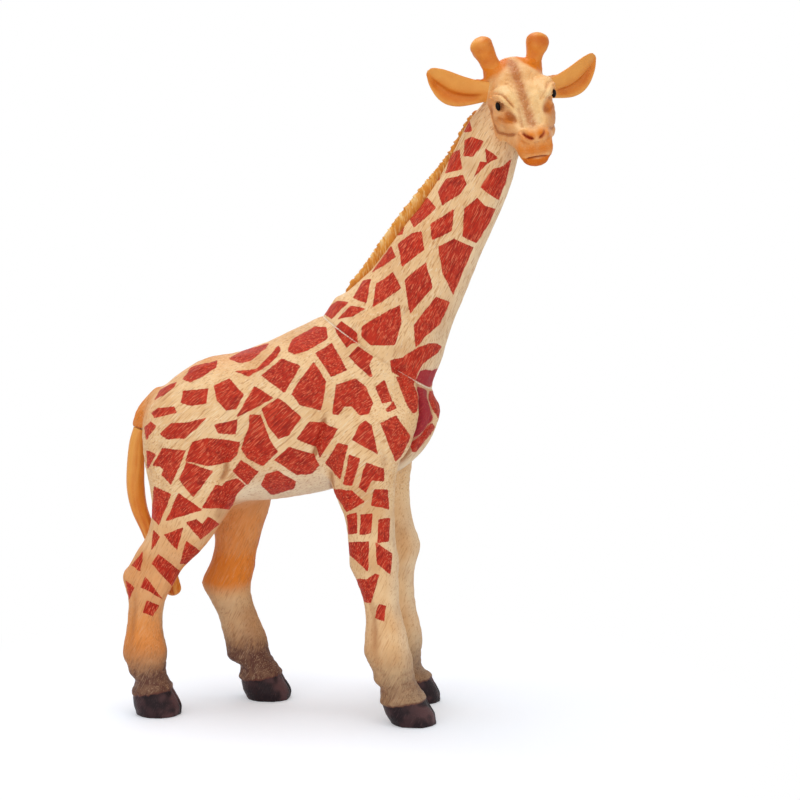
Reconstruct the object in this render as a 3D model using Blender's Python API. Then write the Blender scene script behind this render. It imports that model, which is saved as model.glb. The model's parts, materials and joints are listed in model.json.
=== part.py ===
"""A moulded toy giraffe, built piece by piece.

The giraffe faces +X and stands on z = 0. Its right side is towards -Y.
Two hollow body halves, each with its own two legs, close on the giraffe's
middle plane. They hold the neck's tenon and the tail's plug. The neck carries
the mane and the head, and the head carries the ears, horns and eyes on pegs.
Outlines are tables of shares: each share is multiplied by the size it follows.
"""
import math

import bmesh
import bpy
from mathutils import Vector

for old in list(bpy.data.objects):
    bpy.data.objects.remove(old)

mm = 0.001

# Body and legs
leg_reach = 100 * mm
leg_width = 12 * mm
body_length = 87 * mm
body_depth = 54 * mm
body_width = 38 * mm

# Neck
neck_length = 80.5 * mm
neck_base_depth = 36.7 * mm
neck_base_width = 28 * mm
neck_lean = math.radians(60.6)
seam_slope = math.radians(33.7)

# Head, which turns to the giraffe's right
head_length = 37.5 * mm
head_depth = 20 * mm
head_width = 17.2 * mm
head_turn = math.radians(73)
head_nod = math.radians(33)
head_tilt = math.radians(11)

# Ears, horns, eyes and mane
ear_length = 17 * mm
ear_width = 10 * mm
ear_thickness = 2.6 * mm
ear_bow = 1.6 * mm
horn_length = 10.2 * mm
horn_radius = 3.1 * mm
eye_radius = 1.7 * mm
mane_height = 3.6 * mm
mane_tooth = 0.8 * mm
mane_root = 1.6 * mm
mane_thickness = 3 * mm

# Tail
tail_length = 49 * mm
tail_radius = 1.9 * mm
tail_plug_radius = 0.9 * mm
tail_plug_length = 4 * mm
tail_tilt = math.radians(20)
dock_length = 6 * mm

# Walls, pegs and fits
gap = 0.3 * mm
wall = 3 * mm
boss_radius = 3 * mm
pin_radius = 1.4 * mm
pin_length = 3 * mm
tenon_length = 9 * mm
peg_radius = 1.1 * mm
peg_length = 4 * mm
head_peg_radius = 2.4 * mm
head_peg_length = 9 * mm
overrun = 2 * mm
end_bulge = 0.6 * mm

# How finely the shapes are drawn
body_sides = 28
leg_sides = 16
small_sides = 14
tenon_sides = 27
dome_steps = 3
mane_steps = 6
mane_sides = 8
head_sides = 24
smooth_angle = math.radians(40)
mane_squareness = 2.6
head_squareness = 2.5

# Places, as shares of the body's length and depth, or of the head's sizes
belly_share = 0.61
seam_place_share = (0.79, 0.802)
foreleg_place_share = 0.862
dock_place_share = (-0.0115, 0.38)
boss_place_shares = ((0.28, 0.44), (0.48, 0.33))
boss_reach_share = 0.8
tenon_share = 0.58
mane_end_share = 0.3
horn_tip_share = 0.8
sides = {"right": -1, "left": 1}
horn_place_shares = {"right": (-0.075, 0.64, 0.43), "left": (-0.075, 0.58, 0.38)}
horn_way_shares = {"right": (-0.36, 0.36, 0.90), "left": (-0.36, 0.36, 0.90)}
ear_place_shares = {"right": (0, 1.0, 0.09), "left": (0, 1.0, 0.06)}
ear_way_shares = {"right": (-0.34, 0.87, 0.45), "left": (-0.34, 0.87, 0.31)}
eye_place_shares = {"right": (0.25, 0.745, 0.215), "left": (0.25, 0.80, 0.28)}

# Torso: x and z of the back line, x and z of the belly line, half width
torso_shares = (
    (0.014, 0.47, 0.014, 0.055, 0.50),
    (0.046, 0.565, 0.04, -0.045, 0.68),
    (0.126, 0.68, 0.115, -0.10, 0.84),
    (0.23, 0.77, 0.224, -0.075, 0.91),
    (0.333, 0.80, 0.333, -0.01, 0.96),
    (0.437, 0.86, 0.448, 0.005, 1.0),
    (0.517, 0.922, 0.586, 0.045, 0.98),
    (0.56, 0.955, 0.724, 0.093, 0.93),
)
hollow_rows = slice(2, 8)

# Shoulder: way along the neck's seam and below it at the back, the same at the breast, half width
shoulder_shares = (
    (-0.544, 0.057, 0.664, 0.688, 1.15),
    (-0.52, 0.023, 0.74, 0.385, 1.07),
    (-0.508, 0.008, 0.675, 0.107, 1.02),
)

# Neck: way along and across at the back, the same at the front, half width
neck_shares = (
    (0.095, -0.485, 0.04, 0.48, 0.98),
    (0.145, -0.42, 0.09, 0.47, 0.92),
    (0.24, -0.355, 0.19, 0.415, 0.82),
    (0.335, -0.32, 0.29, 0.385, 0.74),
    (0.445, -0.285, 0.42, 0.345, 0.67),
    (0.54, -0.25, 0.54, 0.32, 0.62),
    (0.63, -0.22, 0.65, 0.30, 0.585),
    (0.73, -0.205, 0.76, 0.26, 0.56),
    (0.845, -0.215, 0.85, 0.205, 0.54),
    (0.93, -0.19, 0.94, 0.14, 0.42),
)

# Legs: height, back, front, middle's way out from the body's plane, half width
foreleg_right_shares = (
    (0.95, -0.12, 0.03, 0.42, 0.8),
    (0.875, -0.17, 0.06, 0.53, 1.2),
    (0.80, -0.18, 0.046, 0.60, 1.3),
    (0.745, -0.185, 0.016, 0.63, 1.27),
    (0.66, -0.175, 0.003, 0.645, 1.15),
    (0.58, -0.142, 0.005, 0.645, 1.0),
    (0.49, -0.129, 0.008, 0.64, 0.9),
    (0.44, -0.125, 0.009, 0.63, 0.9),
    (0.40, -0.105, 0.009, 0.63, 0.83),
    (0.34, -0.086, 0.014, 0.63, 0.75),
    (0.285, -0.081, 0.026, 0.63, 0.73),
    (0.22, -0.086, 0.04, 0.63, 0.77),
    (0.19, -0.084, 0.051, 0.63, 0.81),
    (0.13, -0.053, 0.059, 0.63, 0.82),
    (0.085, -0.04, 0.082, 0.63, 0.87),
    (0.06, -0.038, 0.098, 0.63, 0.95),
    (0.026, -0.026, 0.117, 0.63, 1.0),
    (0, -0.01, 0.12, 0.63, 0.97),
)
foreleg_left_shares = (
    (0.95, -0.12, 0.03, 0.42, 0.8),
    (0.875, -0.16, 0.06, 0.53, 1.2),
    (0.80, -0.165, 0.05, 0.60, 1.25),
    (0.71, -0.16, 0.028, 0.63, 1.2),
    (0.58, -0.12, 0.024, 0.63, 1.0),
    (0.485, -0.09, 0.046, 0.63, 0.92),
    (0.455, -0.09, 0.046, 0.63, 0.92),
    (0.415, -0.08, 0.036, 0.63, 0.87),
    (0.37, -0.068, 0.031, 0.63, 0.78),
    (0.29, -0.06, 0.036, 0.63, 0.73),
    (0.225, -0.065, 0.051, 0.63, 0.77),
    (0.185, -0.07, 0.056, 0.63, 0.82),
    (0.13, -0.045, 0.052, 0.63, 0.82),
    (0.095, -0.035, 0.06, 0.63, 0.87),
    (0.07, -0.04, 0.088, 0.63, 0.93),
    (0.02, -0.025, 0.113, 0.63, 1.0),
    (0, -0.012, 0.112, 0.63, 0.97),
)
hindleg_right_shares = (
    (0.88, 0.09, 0.25, 0.37, 1.0),
    (0.78, 0.03, 0.29, 0.45, 1.38),
    (0.68, 0.025, 0.315, 0.50, 1.45),
    (0.60, 0.045, 0.283, 0.525, 1.3),
    (0.52, 0.036, 0.23, 0.525, 1.13),
    (0.475, 0.007, 0.19, 0.525, 1.0),
    (0.43, -0.018, 0.14, 0.525, 0.9),
    (0.40, -0.038, 0.12, 0.525, 0.87),
    (0.34, -0.022, 0.09, 0.525, 0.8),
    (0.29, -0.023, 0.078, 0.525, 0.73),
    (0.24, -0.029, 0.077, 0.525, 0.73),
    (0.19, -0.038, 0.089, 0.525, 0.8),
    (0.16, -0.035, 0.088, 0.525, 0.83),
    (0.125, -0.01, 0.087, 0.525, 0.82),
    (0.085, -0.006, 0.10, 0.525, 0.87),
    (0.06, -0.013, 0.116, 0.525, 0.93),
    (0.022, -0.008, 0.132, 0.525, 1.0),
    (0, -0.002, 0.13, 0.525, 0.97),
)
hindleg_left_shares = (
    (0.88, 0.13, 0.29, 0.37, 1.0),
    (0.78, 0.09, 0.33, 0.45, 1.33),
    (0.68, 0.11, 0.35, 0.50, 1.33),
    (0.60, 0.145, 0.361, 0.525, 1.2),
    (0.52, 0.175, 0.335, 0.525, 1.0),
    (0.475, 0.186, 0.32, 0.525, 0.93),
    (0.42, 0.176, 0.306, 0.525, 0.87),
    (0.35, 0.146, 0.293, 0.525, 0.87),
    (0.31, 0.162, 0.293, 0.525, 0.82),
    (0.25, 0.193, 0.312, 0.525, 0.73),
    (0.185, 0.211, 0.34, 0.525, 0.75),
    (0.135, 0.224, 0.35, 0.525, 0.83),
    (0.10, 0.257, 0.374, 0.525, 0.83),
    (0.065, 0.259, 0.394, 0.525, 0.93),
    (0.025, 0.268, 0.416, 0.525, 1.0),
    (0, 0.28, 0.414, 0.525, 0.97),
)

# Head: way forward, top, underside, half width
head_shares = (
    (-0.20, 0.26, -0.25, 0.58),
    (-0.133, 0.45, -0.425, 0.84),
    (0, 0.56, -0.525, 1.0),
    (0.133, 0.47, -0.55, 1.02),
    (0.267, 0.35, -0.55, 1.0),
    (0.373, 0.22, -0.53, 0.86),
    (0.48, 0.12, -0.48, 0.70),
    (0.56, 0.06, -0.44, 0.62),
    (0.63, -0.02, -0.41, 0.58),
    (0.68, -0.14, -0.36, 0.42),
)

# Ear: way along, half width, half thickness. Horn: way along, radius
ear_shares = (
    (-0.22, 0.62, 1.0),
    (0, 0.66, 1.0),
    (0.2, 0.80, 0.9),
    (0.4, 0.95, 0.8),
    (0.6, 1.0, 0.7),
    (0.78, 0.85, 0.7),
    (0.92, 0.55, 0.6),
    (0.98, 0.3, 0.5),
)
horn_shares = (
    (-0.35, 1.2),
    (0, 1.08),
    (0.25, 0.88),
    (0.45, 0.82),
    (0.62, 0.92),
    (0.78, 1.0),
)

# Tail: x and z from its seam, radius
tail_shares = (
    (-0.024, -0.09, 1.2),
    (-0.037, -0.235, 1.35),
    (-0.037, -0.357, 1.35),
    (-0.012, -0.48, 1.2),
    (0.036, -0.60, 1.05),
    (0.09, -0.725, 1.0),
    (0.143, -0.826, 1.15),
    (0.178, -0.918, 1.25),
    (0.19, -0.96, 1.1),
)

# Directions and anchor points worked out from the sizes above
across = Vector((0, 1, 0))
belly_height = leg_reach * belly_share
seam_down = Vector((math.cos(seam_slope), 0, -math.sin(seam_slope)))
seam_normal = Vector((math.sin(seam_slope), 0, math.cos(seam_slope)))
neck_axis = Vector((math.cos(neck_lean), 0, math.sin(neck_lean)))
neck_front = Vector((math.sin(neck_lean), 0, -math.cos(neck_lean)))
tail_axis = Vector((math.sin(tail_tilt), 0, math.cos(tail_tilt)))


def body_point(x_share, z_share):
    """A point of the middle plane, measured from the rump and the belly."""
    return Vector((body_length * x_share, 0, belly_height + body_depth * z_share))


seam_centre = body_point(*seam_place_share)
dock_centre = body_point(*dock_place_share)
head_origin = seam_centre + neck_axis * neck_length


def shoulder_point(along_share, below_share):
    """A point of the middle plane, measured along the neck's seam and below it."""
    way = seam_down * (neck_base_depth * along_share)
    return seam_centre + way - seam_normal * (neck_base_depth * below_share)


def neck_point(along_share, across_share):
    """A point of the middle plane, measured along and across the neck."""
    way = neck_axis * (neck_length * along_share)
    return seam_centre + way + neck_front * (neck_base_depth * across_share)


def head_directions():
    """Forward, left and up of the turned, nodded and tilted head."""
    heading = Vector((math.cos(head_turn), -math.sin(head_turn), 0))
    level_left = Vector((math.sin(head_turn), math.cos(head_turn), 0))
    forward = heading * math.cos(head_nod) - Vector((0, 0, 1)) * math.sin(head_nod)
    level_up = heading * math.sin(head_nod) + Vector((0, 0, 1)) * math.cos(head_nod)
    left = level_left * math.cos(head_tilt) + level_up * math.sin(head_tilt)
    up = level_up * math.cos(head_tilt) - level_left * math.sin(head_tilt)
    return forward, left, up


head_forward, head_left, head_up = head_directions()


def head_point(place_share, side=1):
    """A point of the head from shares of its length, half width and depth."""
    forward_share, left_share, up_share = place_share
    onward = head_forward * (head_length * forward_share)
    sideways = head_left * (head_width / 2 * left_share * side)
    return head_origin + onward + sideways + head_up * (head_depth * up_share)


def head_way(way_share, side=1):
    """A unit direction of the head from its forward, left and up parts."""
    forward_share, left_share, up_share = way_share
    way = head_forward * forward_share + head_left * (left_share * side) + head_up * up_share
    return way.normalized()


def smooth(rows, steps):
    """Rows read from the cubic curve that passes through all the given rows."""
    fine = []
    last = len(rows) - 1
    for k in range(last):
        before, start, end, after = rows[max(k - 1, 0)], rows[k], rows[k + 1], rows[min(k + 2, last)]
        for step in range(steps):
            t = step / steps
            fine.append(tuple(
                b + t * (c - a + t * (2 * a - 5 * b + 4 * c - d + t * (3 * b - a - 3 * c + d))) / 2
                for a, b, c, d in zip(before, start, end, after)
            ))
    fine.append(tuple(rows[last]))
    return fine


def ring(centre, side, up, half_side, half_up, count, squareness=2, bow=0):
    """Points of one section. bow bends its two side edges towards up."""
    points = []
    for k in range(count):
        angle = math.tau * k / count
        c = math.copysign(abs(math.cos(angle)) ** (2 / squareness), math.cos(angle))
        s = math.copysign(abs(math.sin(angle)) ** (2 / squareness), math.sin(angle))
        points.append(centre + side * (half_side * c) + up * (half_up * s + bow * c * c))
    return points


def middle(points):
    """The mean of a ring's points."""
    return sum(points, Vector()) / len(points)


def moved_on(end_ring, inner_ring, reach):
    """The end ring moved straight on, away from its neighbour."""
    shift = (middle(end_ring) - middle(inner_ring)).normalized() * reach
    return [p + shift for p in end_ring]


def dome(end_ring, inner_ring, reach):
    """Shrinking rings that round off an end, from the end ring outwards."""
    centre = middle(end_ring)
    outward = (centre - middle(inner_ring)).normalized()
    rings = []
    for k in range(1, dome_steps):
        angle = math.pi / 2 * k / dome_steps
        shift = outward * (reach * math.sin(angle))
        rings.append([centre + (p - centre) * math.cos(angle) + shift for p in end_ring])
    return rings, centre + outward * reach


def loft(name, rings, start_reach=0, end_reach=0, origin=None):
    """A closed solid through the rings. Each end is flat, or a dome of the given reach."""
    rings = list(rings)
    first_pole, last_pole = middle(rings[0]), middle(rings[-1])
    if start_reach:
        extra, first_pole = dome(rings[0], rings[1], start_reach)
        rings = extra[::-1] + rings
    if end_reach:
        extra, last_pole = dome(rings[-1], rings[-2], end_reach)
        rings = rings + extra
    origin = origin or Vector()
    bm = bmesh.new()
    loops = [[bm.verts.new(p - origin) for p in points] for points in rings]
    poles = [bm.verts.new(first_pole - origin), bm.verts.new(last_pole - origin)]
    for near, far in zip(loops, loops[1:]):
        for k in range(len(near)):
            j = (k + 1) % len(near)
            bm.faces.new((near[k], near[j], far[j], far[k]))
    for pole, loop in zip(poles, (loops[0], loops[-1])):
        for k in range(len(loop)):
            bm.faces.new((pole, loop[k], loop[(k + 1) % len(loop)]))
    bmesh.ops.recalc_face_normals(bm, faces=bm.faces)
    return add_object(name, bm, origin)


def add_object(name, bm, origin):
    """Turn the bmesh into an object that stands at its origin."""
    mesh = bpy.data.meshes.new(name)
    bm.to_mesh(mesh)
    bm.free()
    mesh.shade_smooth()
    mesh.set_sharp_from_angle(angle=smooth_angle)
    obj = bpy.data.objects.new(name, mesh)
    obj.location = origin
    bpy.context.scene.collection.objects.link(obj)
    return obj


def rod(name, start, end, radius):
    """A straight round bar between two points."""
    way = (end - start).normalized()
    side = way.orthogonal().normalized()
    up = way.cross(side)
    return loft(name, [ring(p, side, up, radius, radius, small_sides) for p in (start, end)])


def ball(name, centre, radius):
    """A round bead."""
    bm = bmesh.new()
    bmesh.ops.create_uvsphere(bm, u_segments=small_sides, v_segments=small_sides // 2, radius=radius)
    return add_object(name, bm, centre)


def combine(piece, operation, tool):
    """Join, cut or keep with the tool, which becomes a hidden guide."""
    tool.hide_render = True
    tool.display_type = 'WIRE'
    modifier = piece.modifiers.new(tool.name, 'BOOLEAN')
    modifier.operation = operation
    modifier.solver = 'EXACT'
    modifier.object = tool
    return piece


def paint(piece, colour, roughness):
    """Give the piece its own plastic."""
    material = bpy.data.materials.new(piece.name)
    material.use_nodes = True
    shader = material.node_tree.nodes['Principled BSDF']
    shader.inputs['Base Color'].default_value = (*colour, 1)
    shader.inputs['Roughness'].default_value = roughness
    shader.inputs['Metallic'].default_value = 0
    piece.data.materials.append(material)


def outline(table, place, half_width):
    """The table's pairs of outline points, and its half widths, as lengths."""
    rows = []
    for back_first, back_second, front_first, front_second, width_share in table:
        back, front = place(back_first, back_second), place(front_first, front_second)
        rows.append((back.x, back.z, front.x, front.z, half_width * width_share))
    return rows


def sections(rows, count, inset=0):
    """Rings through pairs of outline points of the middle plane."""
    rings = []
    for back_x, back_z, front_x, front_z, half_side in rows:
        back, front = Vector((back_x, 0, back_z)), Vector((front_x, 0, front_z))
        up = (back - front).normalized()
        half_up = (back - front).length / 2 - inset
        rings.append(ring((back + front) / 2, across, up, half_side - inset, half_up, count))
    return rings


def seam_ring(drop=0):
    """The oval where the neck meets the body."""
    centre = seam_centre - seam_normal * drop
    return ring(centre, across, -seam_down, neck_base_width / 2, neck_base_depth / 2, body_sides)


def tenon(name, top, depth, grow=0):
    """The neck's tenon, or the socket for it, from above the seam to a depth below it."""
    rings = []
    for rise in (top, -depth):
        half_side = neck_base_width / 2 * tenon_share + grow
        half_up = neck_base_depth / 2 * tenon_share + grow
        centre = seam_centre + seam_normal * rise
        rings.append(ring(centre, across, -seam_down, half_side, half_up, tenon_sides))
    return loft(name, rings)


def leg(name, rows, side, root_x):
    """One leg from its root inside the body down to its flat sole."""
    rings = []
    for height, back, front, out, width in rows:
        x = root_x + leg_reach * (back + front) / 2
        centre = Vector((x, side * body_width / 2 * out, leg_reach * height))
        half_up = leg_reach * (front - back) / 2
        rings.append(ring(centre, across, Vector((1, 0, 0)), leg_width / 2 * width, half_up, leg_sides))
    return loft(name, rings, start_reach=leg_width / 2)


def torso(name):
    """The outer shape of the trunk, from the rump to just under the neck's seam."""
    rows = outline(torso_shares, body_point, body_width / 2)
    rows += outline(shoulder_shares, shoulder_point, neck_base_width / 2)
    rings = sections(smooth(rows, 2), body_sides)
    return loft(name, rings + [seam_ring(drop=gap)], start_reach=end_bulge)


def half_space(name, side):
    """A block that holds everything on one side of the middle plane."""
    near_y, far_y = side * gap / 2, side * (body_width + leg_width)
    reach = body_length + leg_reach
    top = reach + neck_length
    corners = [Vector((x, y, z)) for x in (-reach, reach) for y in (near_y, far_y) for z in (-overrun, top)]
    bm = bmesh.new()
    points = [bm.verts.new(c) for c in corners]
    bmesh.ops.convex_hull(bm, input=points)
    bmesh.ops.recalc_face_normals(bm, faces=bm.faces)
    return add_object(name, bm, Vector())


def boss_rods(piece, operation, side, radius, inner, outer, label):
    """A rod at each boss, between two distances from the middle plane."""
    for number, place in enumerate(boss_place_shares):
        centre = body_point(*place)
        start = centre + across * (side * inner)
        end = centre + across * (side * outer)
        combine(piece, operation, rod(f"{label}_{number}", start, end, radius))


def body_half(name, side, foreleg_shares, hindleg_shares):
    """One hollow half of the body with its own foreleg and hind leg."""
    piece = torso(name)
    combine(piece, 'UNION', leg(name + "_foreleg", foreleg_shares, side, body_length * foreleg_place_share))
    combine(piece, 'UNION', leg(name + "_hindleg", hindleg_shares, side, 0))
    dock_top = dock_centre + tail_axis * dock_length
    dock_low = dock_centre + tail_axis * gap
    combine(piece, 'UNION', rod(name + "_dock", dock_low, dock_top, tail_radius))
    hollow = outline(torso_shares[hollow_rows], body_point, body_width / 2)
    combine(piece, 'DIFFERENCE', loft(name + "_hollow", sections(hollow, small_sides, inset=wall)))
    boss_rods(piece, 'UNION', side, boss_radius, -gap, body_width / 2 * boss_reach_share, name + "_boss")
    combine(piece, 'INTERSECT', half_space(name + "_keep", side))
    combine(piece, 'DIFFERENCE', tenon(name + "_socket", overrun, tenon_length + gap, gap))
    bore_top = dock_centre + tail_axis * (tail_plug_length + gap)
    bore_low = dock_centre - tail_axis * overrun
    combine(piece, 'DIFFERENCE', rod(name + "_tail_bore", bore_low, bore_top, tail_plug_radius + gap))
    if side < 0:
        boss_rods(piece, 'UNION', side, pin_radius, wall, -pin_length, name + "_pin")
    else:
        boss_rods(piece, 'DIFFERENCE', side, pin_radius + gap, -overrun, pin_length + gap, name + "_pin_bore")
    paint(piece, (0.83, 0.62, 0.35), 0.5)
    return piece


def neck_piece():
    """The neck: its tenon, the head's seat and bore, and the mane's groove."""
    rings = sections(smooth(outline(neck_shares, neck_point, neck_base_width / 2), 2), body_sides)
    piece = loft("neck", [seam_ring()] + rings, end_reach=end_bulge)
    combine(piece, 'UNION', tenon("neck_tenon", overrun, tenon_length))
    combine(piece, 'DIFFERENCE', skull("neck_head_seat", grow=gap))
    combine(piece, 'DIFFERENCE', head_peg("neck_head_bore", gap))
    combine(piece, 'DIFFERENCE', mane_strip("neck_mane_groove", gap))
    combine(piece, 'DIFFERENCE', ear_leaf("neck_ear_room", "right", gap))
    paint(piece, (0.83, 0.62, 0.35), 0.5)
    return piece


def mane_strip(name, grow=0):
    """A toothed strip along the neck's back, or the plain groove that it stands in.

    Its sections lie halfway between finer ones, so that none shares a plane with
    a section of the neck. The groove runs on past the neck's rim at the head.
    """
    fine = smooth(neck_shares[1:], mane_steps)[:-mane_steps // 2]
    rows = [tuple((a + b) / 2 for a, b in zip(row, after)) for row, after in zip(fine, fine[1:])]
    rings = []
    for number, (a_along, a_across, b_along, b_across, _) in enumerate(rows):
        back, front = neck_point(a_along, a_across), neck_point(b_along, b_across)
        up = (back - front).normalized()
        rise = 1 if grow else math.sqrt(math.sin(math.pi * (number + 1) / (len(rows) + 1)))
        top = mane_height * (mane_end_share + (1 - mane_end_share) * rise) + grow
        tooth = 0 if grow else mane_tooth * (number % 2)
        low = mane_root + grow
        half_up = (top - tooth + low) / 2
        half_side = mane_thickness / 2 + grow
        centre = back + up * (half_up - low)
        rings.append(ring(centre, across, up, half_side, half_up, mane_sides, mane_squareness))
    if not grow:
        return loft(name, rings, start_reach=mane_root, end_reach=mane_root)
    low_end = moved_on(rings[0], rings[1], mane_root + 2 * grow)
    head_end = moved_on(rings[-1], rings[-2], head_depth / 2)
    return loft(name, [low_end] + rings + [head_end])


def mane_piece():
    """The mane, cut clear of the head and the ear beside it."""
    piece = mane_strip("mane")
    combine(piece, 'DIFFERENCE', skull("mane_head_room", gap))
    combine(piece, 'DIFFERENCE', ear_leaf("mane_ear_room", "right", gap))
    paint(piece, (0.62, 0.30, 0.05), 0.6)
    return piece


def skull(name, grow=0):
    """The head's outer shape, or the same shape grown to make room for it."""
    rings = []
    for forward, top, low, width in smooth(head_shares, 2):
        high, under = head_point((forward, 0, top)), head_point((forward, 0, low))
        half_up = (high - under).length / 2 + grow
        half_side = head_width / 2 * width + grow
        centre = (high + under) / 2
        rings.append(ring(centre, head_left, head_up, half_side, half_up, head_sides, head_squareness))
    reach = wall + grow
    return loft(name, rings, start_reach=reach, end_reach=reach / 2 + grow)


def head_peg(name, grow=0):
    """The head's peg down into the neck, or the bore for it."""
    low = head_origin - neck_axis * (head_depth / 2 + head_peg_length + grow)
    return rod(name, low, head_origin, head_peg_radius + grow)


def head_piece():
    """The head with its peg and the sockets for ears, horns and eyes."""
    piece = skull("head")
    combine(piece, 'UNION', head_peg("head_peg"))
    for hand in sides:
        ear_bore = peg("head_ear_bore_" + hand, ear_place_shares, ear_way_shares, hand, gap)
        combine(piece, 'DIFFERENCE', ear_bore)
        horn_bore = peg("head_horn_bore_" + hand, horn_place_shares, horn_way_shares, hand, gap)
        combine(piece, 'DIFFERENCE', horn_bore)
        eye_centre = head_point(eye_place_shares[hand], sides[hand])
        combine(piece, 'DIFFERENCE', ball("head_eye_socket_" + hand, eye_centre, eye_radius + gap))
    paint(piece, (0.85, 0.58, 0.27), 0.5)
    return piece


def root_and_way(place_shares, way_shares, hand):
    """Where an ear or horn stands on the head, and its direction."""
    return head_point(place_shares[hand], sides[hand]), head_way(way_shares[hand], sides[hand])


def peg(name, place_shares, way_shares, hand, grow=0):
    """The peg of an ear or horn, or the bore for it."""
    root, way = root_and_way(place_shares, way_shares, hand)
    return rod(name, root - way * (peg_length + grow), root + way * peg_radius, peg_radius + grow)


def ear_leaf(name, hand, grow=0):
    """The cupped leaf of an ear, hollow side forwards, or the room that it needs."""
    root, way = root_and_way(ear_place_shares, ear_way_shares, hand)
    facing = (head_forward - way * head_forward.dot(way)).normalized()
    wide = way.cross(facing)
    rings = []
    for along, width, thickness in smooth(ear_shares, 2):
        centre = root + way * (ear_length * along)
        half_side, half_up = ear_width / 2 * width + grow, ear_thickness / 2 * thickness + grow
        rings.append(ring(centre, wide, facing, half_side, half_up, small_sides, bow=ear_bow * width * along))
    return loft(name, rings, end_reach=ear_thickness / 2)


def ear(hand):
    """An ear on its peg."""
    name = "ear_" + hand
    piece = ear_leaf(name, hand)
    combine(piece, 'DIFFERENCE', skull(name + "_seat", grow=gap))
    combine(piece, 'UNION', peg(name + "_peg", ear_place_shares, ear_way_shares, hand))
    paint(piece, (0.75, 0.36, 0.10), 0.5)
    return piece


def horn(hand):
    """A knobbed horn on a peg."""
    name = "horn_" + hand
    root, way = root_and_way(horn_place_shares, horn_way_shares, hand)
    sideways = way.cross(head_forward).normalized()
    rings = []
    for along, radius in smooth(horn_shares, 2):
        centre = root + way * (horn_length * along)
        half = horn_radius * radius
        rings.append(ring(centre, sideways, way.cross(sideways), half, half, small_sides))
    piece = loft(name, rings, end_reach=horn_radius * horn_tip_share)
    combine(piece, 'DIFFERENCE', skull(name + "_seat", grow=gap))
    combine(piece, 'UNION', peg(name + "_peg", horn_place_shares, horn_way_shares, hand))
    paint(piece, (0.75, 0.36, 0.10), 0.5)
    return piece


def eye(hand):
    """A glossy black bead."""
    piece = ball("eye_" + hand, head_point(eye_place_shares[hand], sides[hand]), eye_radius)
    paint(piece, (0.01, 0.01, 0.01), 0.1)
    return piece


def tail_piece():
    """The tail, whose plug turns in the bore between the body halves."""
    centres = [dock_centre]
    radii = [tail_radius]
    for x_share, z_share, radius_share in smooth(tail_shares, 2):
        centres.append(dock_centre + Vector((tail_length * x_share, 0, tail_length * z_share)))
        radii.append(tail_radius * radius_share)
    rings = [ring(dock_centre, across, tail_axis.cross(across), tail_radius, tail_radius, small_sides)]
    for k in range(1, len(centres)):
        way = (centres[k - 1] - centres[min(k + 1, len(centres) - 1)]).normalized()
        rings.append(ring(centres[k], across, way.cross(across), radii[k], radii[k], small_sides))
    piece = loft("tail", rings, end_reach=radii[-1], origin=dock_centre)
    plug_low = dock_centre - tail_axis * tail_plug_radius
    plug_top = dock_centre + tail_axis * tail_plug_length
    combine(piece, 'UNION', rod("tail_plug", plug_low, plug_top, tail_plug_radius))
    paint(piece, (0.75, 0.36, 0.10), 0.5)
    return piece


def stand_on_origin(pieces):
    """Hang everything on one empty that puts the pieces' box over the origin."""
    bpy.context.view_layer.update()
    depsgraph = bpy.context.evaluated_depsgraph_get()
    corners = []
    for piece in pieces:
        shape = piece.evaluated_get(depsgraph)
        corners += [shape.matrix_world @ vertex.co for vertex in shape.data.vertices]
    low = [min(c[axis] for c in corners) for axis in range(3)]
    high = [max(c[axis] for c in corners) for axis in range(3)]
    giraffe = bpy.data.objects.new("giraffe", None)
    bpy.context.scene.collection.objects.link(giraffe)
    for obj in list(bpy.context.scene.collection.objects):
        if obj is not giraffe:
            obj.parent = giraffe
    giraffe.location = (-(low[0] + high[0]) / 2, -(low[1] + high[1]) / 2, -low[2])
    bpy.context.view_layer.update()


pieces = [
    body_half("body_right_half", -1, foreleg_right_shares, hindleg_right_shares),
    body_half("body_left_half", 1, foreleg_left_shares, hindleg_left_shares),
    neck_piece(),
    mane_piece(),
    head_piece(),
    ear("right"),
    ear("left"),
    horn("right"),
    horn("left"),
    eye("right"),
    eye("left"),
    tail_piece(),
]
stand_on_origin(pieces)
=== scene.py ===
# %% [markdown]
# # A moulded toy giraffe
# The real figure is a few plastic mouldings glued together, painted by spray and
# printed with brick red patches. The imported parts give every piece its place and
# its rough form. This lesson gives each one its finished skin: the same outlines,
# drawn finely, with muscles, folds, hair and print.

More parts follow.
